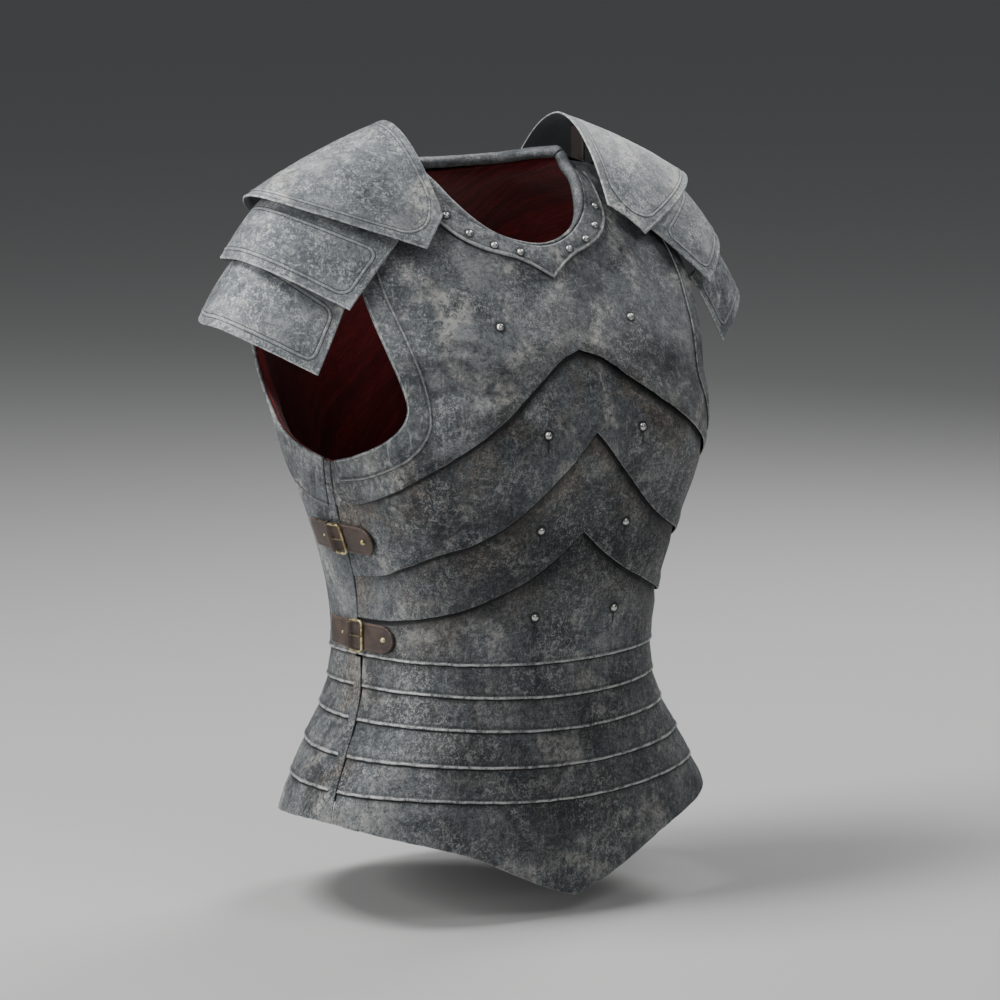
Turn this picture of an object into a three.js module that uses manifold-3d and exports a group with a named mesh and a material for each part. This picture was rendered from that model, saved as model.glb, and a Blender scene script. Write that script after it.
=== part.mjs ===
// A steel breastplate: lapped breast and back plates over a fabric lining, a flared skirt of
// five lames in front and five behind, a riveted collar band, armhole bands, a pair of
// three-lame pauldrons and two buckled straps on each side.
//
// Millimetres, +Z up. The wearer faces -Y and the wearer's left is +X. The origin lies between
// the shoulders, on the centre line, where the wearer's body carries the weight.

import * as THREE from 'three';
import Module from 'manifold-3d';
import { mergeVertices } from 'three/addons/utils/BufferGeometryUtils.js';

const wasm = await Module();
wasm.setup();

// ------------------------------------------------------------------ driving dimensions

const PLATE = 1.6;            // thickness of a body plate
const TOP = 15;               // level of the highest section, on the shoulders
const CHEST = -150;           // level below the lowest place looked for from above
const LAP = 10;               // how far a plate runs on above the edge that covers it
const TUCKED = -2.0;          // lift of that covered strip from the body surface
const PROUD = 1.0;            // lift of a plate's free lower edge
const BAND_LIFT = 3.8;        // outer face of the bands that are laid on the plates
const BAND = 1.4;             // thickness of those bands
const LINING_LIFT = -7.0;     // outer face of the lining
const LINING = 2.0;           // thickness of the lining
const LINING_SETBACK = 2.5;   // how far it stays outside the plates' edge at the neck
const LINING_TOP = 9;         // level at which its front half ends on the shoulders
const LINING_FOOT = -397;     // level at which it ends at the waist
const LAME = 2.0;             // thickness of a pauldron lame
const LEATHER = 2.4;          // thickness of a strap

const SEAM = 90;              // angle of the side seam, from the centre of the front
const SEAM_GAP = 0.25;        // half the gap at the seam, in degrees
const STRIP_HALF = 2.3;       // half the width of the strip on the skirt's seam, in degrees
const STRIP_GAP = 0.3;        // gap beside that strip, in degrees
const FRONT_SHOULDER = 13.6;  // level at which the front ends on the shoulder
const BACK_SHOULDER = 14.5;   // level at which the back ends on the shoulder

const NECK = { halfWidth: 78, front: 67, back: 71, y: -2 };  // the neck hole, seen from above
const NECK_JOINT = 94;        // where the halves of the neck rim meet, in degrees from the front
const RIM = { thick: 5, thin: 1.8, from: 30, to: 65, gap: 1.8 };  // rim radius, thin in front

const STRAP = { height: 24, levels: [-306, -391], tip: -42, joint: -2, end: 44, lift: 4 };
const BUCKLE = { y: 1.5, width: 19, height: 29, bar: 2.8, thick: 2.6, lift: 4.5 };
const RIVET = { radius: 3.6, height: 2.4, sides: 8 };

const COLUMN_STEP = 9;        // degrees between a lapped plate's columns

const STEEL = { color: 0x7d8388, roughness: 0.55, metalness: 0.85 };
const RIVET_STEEL = { color: 0xc9ccce, roughness: 0.35, metalness: 0.9 };
const BRASS = { color: 0x9a7a3c, roughness: 0.4, metalness: 0.9 };
const LEATHER_BROWN = { color: 0x3b2a22, roughness: 0.7, metalness: 0 };
const CLOTH_RED = { color: 0x4a0d0d, roughness: 0.95, metalness: 0 };

// ------------------------------------------------------------------ tables

// A table's rows as objects, with the columns named in one string.
function table(columns, rows) {
  const names = columns.split(' ');
  return rows.map((row) => Object.fromEntries(names.map((name, i) => [name, row[i]])));
}

// Level sections through the body, from the hem up to the top of the shoulders. half: half
// width. sideY: where the section is widest. frontY, backY: the centre line in front and
// behind. frontPow, backPow: 2 is an ellipse, more is squarer. droop: how much lower the
// level lies 150 mm out from the centre, on the shoulders.
const SECTIONS = table('z half sideY frontY backY frontPow backPow droop', [
  [-616, 214, -36, -117, 168, 2.3, 2.2, 0],
  [-548, 195, -31, -118, 158, 2.3, 2.2, 0],
  [-521, 184, -23, -118, 151, 2.3, 2.2, 0],
  [-491, 167, -14, -117, 143, 2.4, 2.2, 0],
  [-461, 149, -5, -115, 133, 2.5, 2.2, 0],
  [-436, 140, 0, -114, 125, 2.5, 2.2, 0],
  [-408, 137, 4, -113.5, 120, 2.6, 2.2, 0],
  [-380, 137, 4, -115, 122, 2.8, 2.2, 0],
  [-344, 142, 2, -120, 130, 2.9, 2.2, 0],
  [-299, 158, -2, -127, 137, 3.0, 2.2, 0],
  [-265, 169, -6, -136, 143, 3.0, 2.4, 0],
  [-232, 176, -9, -143, 149, 3.0, 2.7, 0],
  [-207, 180, -10, -142, 150, 2.9, 2.9, 0],
  [-181, 190, -10, -131.5, 150, 2.5, 3.0, 0],
  [-149, 199, -10, -119, 150, 2.3, 3.0, 0],
  [-120, 203, -9, -101.5, 148, 2.2, 2.8, 2],
  [-93, 203, -6, -84.5, 141, 2.2, 2.6, 6],
  [-69, 200, -2, -70.5, 129, 2.2, 2.4, 12],
  [-50, 197, 1, -56, 115, 2.2, 2.3, 18],
  [-32, 195, 3, -41, 99, 2.2, 2.2, 25],
  [-10, 193, 5, -22, 77, 2.2, 2.2, 34],
  [2, 192, 6, -6, 52, 2.2, 2.2, 38],
  [10, 191, 7, 0, 32, 2.2, 2.2, 40],
  [15, 190, 7, 7, 7, 2.2, 2.2, 40],
]);

// Lower edges of the three plates that meet in a chevron on the chest, by angle from the centre.
const CHEVRONS = [
  [[0, -150.5], [6, -157.5], [14, -175], [22, -192], [29, -206], [40, -228], [50, -246],
    [60, -261], [75, -274], [92, -279]],
  [[0, -216.5], [5, -232], [9, -245], [18, -270], [25, -286.5], [36, -303.5], [48, -314],
    [60, -326], [72, -336], [92, -341]],
  [[0, -301], [7, -316.5], [12, -325.5], [20, -338], [27, -346], [40, -359.5], [53, -368],
    [70, -374.5], [92, -376.5]],
].map(byAngle);

// The hem: a long point in front and a shallower one behind.
const HEM = byAngle([[0, -611], [5, -605], [10, -598], [20, -582], [28, -569.5], [40, -557.5],
  [52, -549.5], [64, -544], [77, -540.5], [91, -539.5], [107, -542], [125, -548], [150, -560],
  [180, -577]]);

// Edges of the skirt's lames: the level at the centre of the front, at the side, and behind.
const SKIRT_EDGES = table('front side back', [
  [-412, -408, -416],
  [-441, -434, -440],
  [-469, -460.5, -459],
  [-499, -489, -485],
  [-528, -516, -519],
]);

// The armhole's edge from the shoulder down to the side seam, with the outer edges of the
// bands laid round it in front and behind. The back angles are measured from the back's centre.
const ARMHOLE = table('angle z bandAngle bandZ backAngle backZ', [
  [56, 13, 49.5, 13, 49.5, 13],
  [56, -40, 49, -42, 49, -42],
  [55, -85, 47.8, -90, 47.5, -90],
  [54, -120, 46.4, -122, 46, -124],
  [52.5, -149, 45.1, -150, 44, -154],
  [51.2, -172, 44.5, -176, 43, -186],
  [51.5, -191, 45.8, -199, 44.5, -216],
  [56, -208, 49.5, -220, 50, -243],
  [64, -222.5, 56, -236, 60, -261],
  [76, -234, 69, -250, 73, -274],
  [87, -240, 84, -256.5, 86, -280],
]);
const ARMHOLE_CORNER = 5.5;   // the place, in rows, at which the edge turns towards the seam
const ARMHOLE_BOTTOM = -241;  // its level at the seam

// Lower edge of the collar band, seen from above.
const COLLAR_EDGE = table('x y', [
  [0, -85.5], [14, -80], [30, -75], [45, -71.3], [61, -66], [75, -57.5], [86, -45],
  [91, -28], [92, -10],
]);
const COLLAR_END = 84;        // where the band ends, in degrees from the front
const COLLAR_RIVETS = table('x y', [[25.8, -72.3], [48.3, -66.3], [66.4, -55.9], [78.7, -40.8]]);

// Rivets on the breast, one of each pair.
const CHEST_RIVETS = table('angle z', [[19.7, -128.5], [15.8, -216], [15.9, -297], [17.2, -371]]);

// Upper and lower edges of the pauldron lames. Each edge is an arch from front to back: xTop
// and zTop at its crown, inset at its ends, front and back how far its ends hang below the
// crown, yMid its middle and half its half length.
const LAME_EDGES = table('xTop zTop inset front back yMid half', [
  [92, 35.5, 4.4, 74.5, 74.5, 24, 74],
  [226, -21, 110, 43, 55, 26, 92],
  [205, -19, 74, 39, 45, 25, 72],
  [250, -71, 58, 39, 12, 18.5, 80.5],
  [233, -62, 50, 44, 26, 18, 64],
  [279, -123, 63, 40, -8, 16, 67],
]);
const LAME_BULGE = [4, 3, 3];

const ARCH_POWER = 1.85;      // how sharply an arch falls away from its crown
const CROWN_Y = 20;           // where the hidden leathers cross the shoulder
const OVER_BANDS = BAND_LIFT + LEATHER + 2.5;  // lift of a leather that crosses a band
const TAB_X = 112;            // where the short leather stands, across the shoulder

// ------------------------------------------------------------------ curves

// A smooth curve through [x, y] rows, for any x between the first and the last.
function byAngle(rows) {
  const slope = (i) => {
    const a = rows[Math.max(i - 1, 0)];
    const b = rows[Math.min(i + 1, rows.length - 1)];
    return (b[1] - a[1]) / (b[0] - a[0]);
  };
  return (angle) => {
    const x = Math.abs(angle) > 180 ? 360 - Math.abs(angle) : Math.abs(angle);
    let i = 0;
    while (i < rows.length - 2 && x > rows[i + 1][0]) i += 1;
    const [x0, y0] = rows[i];
    const [x1, y1] = rows[i + 1];
    const step = x1 - x0;
    const f = (x - x0) / step;
    return y0 * (1 + 2 * f) * (1 - f) ** 2 + y1 * f * f * (3 - 2 * f)
      + step * f * (1 - f) * (slope(i) * (1 - f) - slope(i + 1) * f);
  };
}

// The row at place v, counted in rows, of a table of numbers.
function rowAt(rows, v) {
  const at = THREE.MathUtils.clamp(v, 0, rows.length - 1);
  const i = Math.min(Math.floor(at), rows.length - 2);
  const f = at - i;
  const blend = {};
  for (const name of Object.keys(rows[0])) {
    const b = rows[i][name];
    const c = rows[i + 1][name];
    const a = i > 0 ? rows[i - 1][name] : 2 * b - c;
    const d = i + 2 < rows.length ? rows[i + 2][name] : 2 * c - b;
    blend[name] = b + 0.5 * f * (c - a + f * (2 * a - 5 * b + 4 * c - d
      + f * (3 * (b - c) + d - a)));
  }
  return blend;
}

// The place of level z in the table of sections.
function placeOf(z) {
  let low = 0;
  let high = SECTIONS.length - 1;
  for (let n = 0; n < 30; n += 1) {
    const mid = (low + high) / 2;
    if (rowAt(SECTIONS, mid).z < z) low = mid;
    else high = mid;
  }
  return (low + high) / 2;
}

const mix = THREE.MathUtils.lerp;
const smooth = THREE.MathUtils.smoothstep;
const radians = THREE.MathUtils.degToRad;

// ------------------------------------------------------------------ the body surface

// The point of the body surface at an angle from the centre of the front and a level.
function skin(angle, z) {
  const row = rowAt(SECTIONS, placeOf(z));
  const s = Math.sin(radians(angle));
  const c = Math.cos(radians(angle));
  const power = c > 0 ? row.frontPow : row.backPow;
  const depth = c > 0 ? row.sideY - row.frontY : row.backY - row.sideY;
  const reach = (Math.abs(s) ** power + Math.abs(c) ** power) ** (-1 / power);
  const x = row.half * reach * s;
  return new THREE.Vector3(x, row.sideY - depth * reach * c, z - row.droop * (x / 150) ** 2);
}

// That point lifted along the outward normal.
function onSkin(angle, z, lift) {
  const across = skin(angle + 0.5, z).sub(skin(angle - 0.5, z));
  const up = skin(angle, Math.min(z + 0.5, TOP)).sub(skin(angle, z - 0.5));
  return skin(angle, z).add(across.cross(up).setLength(lift));
}

// The angle and level at which the upper body surface lies at (x, y), seen from above.
function skinUnder(x, y) {
  let low = CHEST;
  let high = TOP;
  let row;
  const squareness = () => (y < row.sideY ? row.frontPow : row.backPow);
  const depth = () => (y < row.sideY ? row.sideY - row.frontY : row.backY - row.sideY);
  for (let n = 0; n < 30; n += 1) {
    const mid = (low + high) / 2;
    row = rowAt(SECTIONS, placeOf(mid));
    const power = squareness();
    const size = (Math.abs(x) / row.half) ** power
      + (Math.abs(y - row.sideY) / Math.max(depth(), 0.01)) ** power;
    if (size < 1) low = mid;
    else high = mid;
  }
  const turn = Math.atan2(x / row.half, (row.sideY - y) / Math.max(depth(), 0.01));
  return { angle: THREE.MathUtils.radToDeg(turn), z: low };
}

// The neck hole's edge, seen from above, at an angle from the front and so far outside the rim.
function neckPlan(turn, outside) {
  const s = Math.sin(radians(turn));
  const c = Math.cos(radians(turn));
  const depth = c > 0 ? NECK.front : NECK.back;
  return [(NECK.halfWidth + outside) * s, NECK.y - (depth + outside) * c];
}

function rimRadius(turn) {
  return mix(RIM.thin, RIM.thick, smooth(Math.abs(turn), RIM.from, RIM.to));
}

// ------------------------------------------------------------------ solids

// A closed body from two like grids of points, the outer and the inner face, closed all round.
function slab(outer, inner) {
  const rows = outer.length;
  const columns = outer[0].length;
  const points = [...outer.flat(), ...inner.flat()];
  const back = rows * columns;
  const index = [];
  const quad = (a, b, c, d) => index.push(a, b, c, a, c, d);
  for (let j = 0; j + 1 < rows; j += 1) {
    for (let i = 0; i + 1 < columns; i += 1) {
      const a = j * columns + i;
      quad(a, a + columns, a + columns + 1, a + 1);
      quad(back + a, back + a + 1, back + a + columns + 1, back + a + columns);
    }
  }
  const last = (rows - 1) * columns;
  for (let i = 0; i + 1 < columns; i += 1) {
    quad(i, i + 1, back + i + 1, back + i);
    quad(last + i, back + last + i, back + last + i + 1, last + i + 1);
  }
  for (let j = 0; j + 1 < rows; j += 1) {
    const a = j * columns;
    const b = a + columns - 1;
    quad(a, back + a, back + a + columns, a + columns);
    quad(b, b + columns, back + b + columns, back + b);
  }
  return outward(points, index);
}

// A geometry with its faces pointing out, whichever way round its grid ran.
function outward(points, index) {
  let volume = 0;
  for (let k = 0; k < index.length; k += 3) {
    const [a, b, c] = [0, 1, 2].map((n) => points[index[k + n]]);
    volume += a.dot(b.clone().cross(c));
  }
  if (volume < 0) {
    for (let k = 0; k < index.length; k += 3) {
      [index[k], index[k + 1]] = [index[k + 1], index[k]];
    }
  }
  const geometry = new THREE.BufferGeometry().setFromPoints(points);
  geometry.setIndex(index);
  return geometry;
}

// A plate on the body surface: grid holds rows of { angle, z, lift } of the outer face.
function plate(grid, thickness) {
  const face = (inset) => grid.map((row) => row.map(
    ({ angle, z, lift }) => onSkin(angle, z, lift - inset)));
  return slab(face(0), face(thickness));
}

// A tube along points, with a radius at each, and flat ends.
function tube(points, radii, sides) {
  const grid = points.map((point, i) => {
    const before = points[Math.max(i - 1, 0)];
    const after = points[Math.min(i + 1, points.length - 1)];
    const along = after.clone().sub(before).normalize();
    const out = new THREE.Vector3(0, 0, 1).cross(along).normalize();
    const up = along.clone().cross(out);
    return Array.from({ length: sides }, (_, k) => {
      const turn = 2 * Math.PI * (k + 0.5) / sides;
      return point.clone()
        .addScaledVector(out, radii[i] * Math.cos(turn))
        .addScaledVector(up, radii[i] * Math.sin(turn));
    });
  });
  const index = [];
  for (let j = 0; j + 1 < grid.length; j += 1) {
    for (let k = 0; k < sides; k += 1) {
      const a = j * sides + k;
      const b = j * sides + (k + 1) % sides;
      index.push(a, b, b + sides, a, b + sides, a + sides);
    }
  }
  const end = (grid.length - 1) * sides;
  for (let k = 1; k + 1 < sides; k += 1) {
    index.push(0, k + 1, k, end, end + k, end + k + 1);
  }
  return outward(grid.flat(), index);
}

function mirrored(geometry) {
  const copy = geometry.clone().applyMatrix4(new THREE.Matrix4().makeScale(-1, 1, 1));
  const index = copy.index.array;
  for (let k = 0; k < index.length; k += 3) {
    [index[k], index[k + 1]] = [index[k + 1], index[k]];
  }
  return copy;
}

function toSolid(geometry) {
  const bare = geometry.clone();
  for (const name of Object.keys(bare.attributes)) {
    if (name !== 'position') bare.deleteAttribute(name);
  }
  const merged = mergeVertices(bare, 1e-4);
  return new wasm.Manifold(new wasm.Mesh({
    numProp: 3,
    vertProperties: Float32Array.from(merged.attributes.position.array),
    triVerts: Uint32Array.from(merged.index.array),
  }));
}

function joined(geometries) {
  const mesh = geometries.map(toSolid).reduce((sum, solid) => sum.add(solid)).getMesh();
  const geometry = new THREE.BufferGeometry();
  geometry.setAttribute('position', new THREE.BufferAttribute(mesh.vertProperties, 3));
  geometry.setIndex(new THREE.BufferAttribute(mesh.triVerts, 1));
  return geometry;
}

// A place on the body surface: its x runs along the surface, its z points outwards.
function seat(angle, z, lift) {
  const base = onSkin(angle, z, 0);
  const out = onSkin(angle, z, 1).sub(base).normalize();
  const along = skin(angle + 0.5, z).sub(skin(angle - 0.5, z)).normalize();
  const matrix = new THREE.Matrix4().makeBasis(along, out.clone().cross(along), out);
  return matrix.setPosition(base.addScaledVector(out, lift));
}

// ------------------------------------------------------------------ breast and back

// Columns of a plate from one side to the other, whose sides lie so far from its centre line.
function columnsTo(side, centre = 0) {
  const inner = [];
  for (let a = COLUMN_STEP - 90; a <= 90 - COLUMN_STEP; a += COLUMN_STEP) inner.push(a);
  return [-side, ...inner, side].map((angle) => centre + angle);
}

// Columns that fan out at the top, by the angles of their feet. Those up to neckEnd start at
// the neck, those up to shoulderEnd on the shoulder, those up to cornerEnd down the side of
// the armhole, and the rest along its bottom.
const FAN = { neckEnd: 24, shoulderEnd: 29, cornerEnd: 46 };
const FAN_FEET = [8, 16, 20, 24, 29, 31, 33, 37, 41, 46, 54, 63, 75];

function fanTo(side, centre) {
  const half = [...FAN_FEET, side];
  return [...half.map((angle) => -angle).reverse(), 0, ...half].map((angle) => centre + angle);
}

// How far down a fanned plate its row k of n lies: closer together near the shoulders.
function rowShare(k, n) {
  return (k / n) ** 1.5;
}

// How far a fanned column has turned towards its foot's angle at a share f of the way down.
// It turns early, and those from the armhole earliest.
function turnShare(f, foot) {
  return 1 - (1 - f) ** (foot > FAN.neckEnd ? 3 : 2);
}

// Rows of a lapped plate in one column: the tucked strip, the open face and the free edge.
function lappedRows(angle, upper, lower, openRows) {
  const rows = [{ z: upper + LAP, lift: TUCKED }, { z: upper - 2, lift: TUCKED }];
  const top = upper - 2;
  const bottom = lower + LAP + 2;
  for (let k = 1; k <= openRows; k += 1) {
    rows.push({ z: mix(top, bottom, k / (openRows + 1)), lift: 0 });
  }
  rows.push({ z: bottom, lift: PROUD }, { z: lower, lift: PROUD });
  return rows.map((row) => ({ angle, ...row }));
}

const transposed = (columns) => columns[0].map((_, j) => columns.map((column) => column[j]));

function lappedPlate(columns, upper, lower, openRows) {
  return plate(transposed(columns.map(
    (angle) => lappedRows(angle, upper(angle), lower(angle), openRows))), PLATE);
}

// The top edge of the breast or back plate in the column that has this angle at its foot:
// along the neck, then the shoulder, then down and round the armhole. Angles are from the
// plate's own centre line, and limit is the angle of its side.
function topEdge(angle, behind, limit, setback) {
  const { neckEnd, shoulderEnd, cornerEnd } = FAN;
  const shoulder = behind ? BACK_SHOULDER : FRONT_SHOULDER;
  if (angle < shoulderEnd) {
    const reach = behind ? 180 - NECK_JOINT - 7 : NECK_JOINT - 3;
    const turn = Math.min(angle / neckEnd, 1) * reach;
    const radius = rimRadius(behind ? 180 - turn : turn);
    const [x, y] = neckPlan(behind ? 180 - turn : turn, radius + RIM.gap + setback);
    const neck = skinUnder(x, y);
    const from = behind ? 180 - neck.angle : neck.angle;
    const f = Math.max(angle - neckEnd, 0) / (shoulderEnd - neckEnd);
    return { angle: mix(from, ARMHOLE[0].angle, f), z: mix(neck.z, shoulder, Math.min(3 * f, 1)) };
  }
  const edge = [...ARMHOLE, { ...ARMHOLE.at(-1), angle: limit, z: ARMHOLE_BOTTOM }];
  const v = angle < cornerEnd
    ? ARMHOLE_CORNER * (angle - shoulderEnd) / (cornerEnd - shoulderEnd)
    : mix(ARMHOLE_CORNER, ARMHOLE.length, (angle - cornerEnd) / (limit - cornerEnd));
  const { angle: out, z } = rowAt(edge, v);
  return { angle: out, z: Math.min(z, shoulder) };
}

// The breast's or back's main plate: columns fan out from the neck, shoulder and armhole.
function yoke(behind, limit, lower, openRows) {
  const centre = behind ? 180 : 0;
  const grid = fanTo(limit, centre).map((angle) => {
    const side = Math.sign(angle - centre);
    const top = topEdge(Math.abs(angle - centre), behind, limit, 0);
    const foot = lower(angle) + LAP + 2;
    const rows = [];
    for (let k = 0; k <= openRows; k += 1) {
      const f = rowShare(k, openRows);
      rows.push({
        angle: mix(centre + side * top.angle, angle, turnShare(f, Math.abs(angle - centre))),
        z: mix(top.z, foot, f),
        lift: k === openRows ? PROUD : 0,
      });
    }
    return [...rows, { angle, z: lower(angle), lift: PROUD }];
  });
  return plate(transposed(grid), PLATE);
}

// The skirt's edge number i, by angle.
function skirtEdge(i) {
  const { front, side, back } = SKIRT_EDGES[i];
  return (angle) => {
    const c = Math.cos(radians(angle));
    return mix(side, c > 0 ? front : back, c > 0 ? c ** 4 : c * c);
  };
}

// ------------------------------------------------------------------ lining

// Half of the lining, in front or behind, from just inside the neck down to the waist.
function lining(behind, limit) {
  const centre = behind ? 180 : 0;
  const rows = 6;
  const grid = fanTo(limit, centre).map((angle) => {
    const side = Math.sign(angle - centre);
    const top = topEdge(Math.abs(angle - centre), behind, limit, LINING_SETBACK);
    return Array.from({ length: rows + 1 }, (_, k) => {
      const f = rowShare(k, rows);
      return {
        angle: mix(centre + side * top.angle, angle, turnShare(f, Math.abs(angle - centre))),
        z: mix(behind ? top.z : Math.min(top.z, LINING_TOP), LINING_FOOT, f),
        lift: LINING_LIFT,
      };
    });
  });
  return plate(transposed(grid), LINING);
}

// ------------------------------------------------------------------ bands and neck rim

// The band round an armhole, in front or behind, on the wearer's left.
function armholeBand(behind) {
  const outer = behind ? ['backAngle', 'backZ'] : ['bandAngle', 'bandZ'];
  const steps = 20;
  const grid = Array.from({ length: steps + 1 }, (_, k) => {
    const row = rowAt(ARMHOLE, (ARMHOLE.length - 1) * (k / steps) ** 1.4);
    const shoulder = behind ? BACK_SHOULDER : FRONT_SHOULDER;
    const place = (angle, z) => ({
      angle: behind ? 180 - angle : angle, z: Math.min(z, shoulder), lift: BAND_LIFT });
    return [place(row[outer[0]], row[outer[1]]), place(row.angle, row.z)];
  });
  return plate(grid, BAND);
}

// The flat collar band along the front of the neck, with its V-shaped point and its rivets.
function collarBand() {
  const steps = 20;
  const last = COLLAR_EDGE.length - 1;
  const columns = Array.from({ length: steps + 1 }, (_, k) => {
    const u = 2 * k / steps - 1;
    const side = Math.sign(u);
    const turn = COLLAR_END * Math.abs(u);
    const [innerX, innerY] = neckPlan(turn, rimRadius(turn) + RIM.gap);
    const edge = rowAt(COLLAR_EDGE, last * Math.abs(u));
    return [[innerX, innerY], [edge.x, edge.y]].map(([x, y]) => {
      const { angle, z } = skinUnder(x, y);
      return { angle: side * angle, z, lift: BAND_LIFT };
    });
  });
  const rivets = COLLAR_RIVETS.flatMap(({ x, y }) => [-1, 1].map((side) => {
    const { angle, z } = skinUnder(x, y);
    return rivetAt(side * angle, z, BAND_LIFT - 0.6, 0.85);
  }));
  return joined([plate(transposed(columns), BAND), ...rivets]);
}

// A domed rivet head, seated on the body surface.
function rivetAt(angle, z, lift, scale = 1) {
  const profile = [[0, 0], [1, 0], [0.75, 0.75], [0, 1]].map(
    ([r, h]) => new THREE.Vector2(r * RIVET.radius * scale, h * RIVET.height * scale));
  const head = new THREE.LatheGeometry(profile, RIVET.sides).rotateX(Math.PI / 2);
  return closedLathe(head).applyMatrix4(seat(angle, z, lift));
}

// A lathe's geometry with its seam and poles merged and no empty faces, ready for joining.
function closedLathe(geometry) {
  geometry.deleteAttribute('normal');
  geometry.deleteAttribute('uv');
  const merged = mergeVertices(geometry, 1e-4);
  const corners = [];
  for (let k = 0; k < merged.index.count; k += 3) {
    const face = [0, 1, 2].map((n) => merged.index.getX(k + n));
    if (new Set(face).size === 3) corners.push(...face);
  }
  merged.setIndex(corners);
  return merged;
}

// The rolled rim of the neck between two turns, measured from the front.
function neckRim(from, to, steps) {
  const turns = Array.from({ length: steps + 1 }, (_, k) => mix(from, to, k / steps));
  const points = turns.map((turn) => {
    const folded = turn > 180 ? turn - 360 : turn;
    const [x, y] = neckPlan(folded, 0);
    const { angle, z } = skinUnder(x, y);
    return onSkin(angle, z, -PLATE / 2);
  });
  return tube(points, turns.map((turn) => rimRadius(Math.min(turn, 360 - turn))), 6);
}

// ------------------------------------------------------------------ pauldrons, wearer's left

// The point of an arched edge at q, from -1 in front to 1 behind.
function archPoint(edge, q) {
  return new THREE.Vector3(
    edge.xTop - edge.inset * q * q,
    edge.yMid + edge.half * q,
    edge.zTop - (q < 0 ? edge.front : edge.back) * Math.abs(q) ** ARCH_POWER,
  );
}

// A point of a lame's outer face, and the outward direction there.
function lamePoint(number, q, v) {
  const [upper, lower] = LAME_EDGES.slice(2 * number, 2 * number + 2);
  const flat = (a, b) => archPoint(upper, a).lerp(archPoint(lower, a), b);
  const along = flat(q + 0.01, v).sub(flat(q - 0.01, v));
  const down = flat(q, v + 0.01).sub(flat(q, v - 0.01));
  const out = down.cross(along).normalize();
  const bulge = LAME_BULGE[number] * 4 * v * (1 - v) * (1 - 0.4 * q * q);
  return { point: flat(q, v).addScaledVector(out, bulge), out };
}

function lame(number) {
  const [along, down] = [12, number === 0 ? 3 : 2];
  const face = (inset) => Array.from({ length: down + 1 }, (_, j) => (
    Array.from({ length: along + 1 }, (__, i) => {
      const { point, out } = lamePoint(number, 2 * i / along - 1, j / down);
      return point.addScaledVector(out, -inset);
    })));
  return slab(face(0), face(LAME));
}

// A strip of leather across the shoulder's crown. Each place gives, for a y, a point of its
// outer face and the direction in which that face looks.
function leatherStrip(places, width) {
  const sides = [CROWN_Y - width / 2, CROWN_Y + width / 2];
  const face = (inset) => places.map((place) => sides.map((y) => {
    const { point, out } = place(y);
    return point.addScaledVector(out, -inset).setY(y);
  }));
  return slab(face(0), face(LEATHER));
}

function onShoulder(x, lift) {
  return (y) => {
    const { angle, z } = skinUnder(x, y);
    return { point: onSkin(angle, z, lift), out: new THREE.Vector3(0.25, 0, 1).normalize() };
  };
}

function underLame(number, v, gap) {
  const [upper, lower] = LAME_EDGES.slice(2 * number, 2 * number + 2);
  return (y) => {
    const q = (y - mix(upper.yMid, lower.yMid, v)) / mix(upper.half, lower.half, v);
    const { point, out } = lamePoint(number, q, v);
    return { point: point.addScaledVector(out, -LAME - gap), out: out.setY(0).normalize() };
  };
}

// The leather that carries the two lower lames, from the shoulder out and down.
function lameLeather() {
  return leatherStrip([
    onShoulder(124, OVER_BANDS),
    onShoulder(158, OVER_BANDS),
    underLame(1, 0.1, 5),
    underLame(1, 0.5, 8),
    underLame(2, 0.08, 3.2),
    underLame(2, 0.6, 1.2),
  ], 24);
}

// The short leather that holds the upper lame over the shoulder.
function lameTab() {
  const upright = (place) => (y) => ({
    point: place(y).point.setX(TAB_X), out: new THREE.Vector3(1, 0, 0) });
  return leatherStrip([underLame(0, 0.16, 2.5), onShoulder(TAB_X, 1)].map(upright), 20);
}

// ------------------------------------------------------------------ side straps, wearer's left

// A strap on the body surface between two angles, rounded at its tip if it has one.
function strap(level, yFrom, yTo, roundTip) {
  const steps = 8;
  const half = STRAP.height / 2;
  const grid = Array.from({ length: steps + 1 }, (_, k) => {
    const y = mix(yFrom, yTo, (k / steps) ** 1.6);
    const near = Math.abs(y - yFrom) / half;
    const reach = roundTip && near < 1 ? Math.max(Math.sqrt(1 - (1 - near) ** 2), 0.35) : 1;
    const angle = sideAngle(y, level);
    return [-1, 1].map((side) => ({ angle, z: level - side * half * reach, lift: STRAP.lift }));
  });
  return plate(grid, LEATHER);
}

// The angle on the left side at which the body surface has this y.
function sideAngle(y, z) {
  let [low, high] = [30, 150];
  for (let n = 0; n < 30; n += 1) {
    const mid = (low + high) / 2;
    if (skin(mid, z).y < y) low = mid;
    else high = mid;
  }
  return low;
}

// A rectangular frame with a tongue, lying over the strap.
function buckle(level) {
  const rounded = (path, width, height, radius) => {
    const [w, h] = [width / 2, height / 2];
    path.moveTo(-w + radius, -h);
    path.lineTo(w - radius, -h);
    path.lineTo(w, -h + radius);
    path.lineTo(w, h - radius);
    path.lineTo(w - radius, h);
    path.lineTo(-w + radius, h);
    path.lineTo(-w, h - radius);
    path.lineTo(-w, -h + radius);
    path.closePath();
    return path;
  };
  const { width, height, bar, thick, lift } = BUCKLE;
  const frame = rounded(new THREE.Shape(), width, height, 2);
  frame.holes.push(rounded(new THREE.Path(), width - 2 * bar, height - 2 * bar, 1));
  const ring = new THREE.ExtrudeGeometry(frame, { depth: thick, bevelEnabled: false });
  const tongue = new THREE.BoxGeometry(width - bar, 2.4, thick * 0.8)
    .translate(0, 0, thick / 2);
  return joined([ring, tongue]).applyMatrix4(seat(sideAngle(BUCKLE.y, level), level, lift));
}

// ------------------------------------------------------------------ assembly

const group = new THREE.Group();

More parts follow.
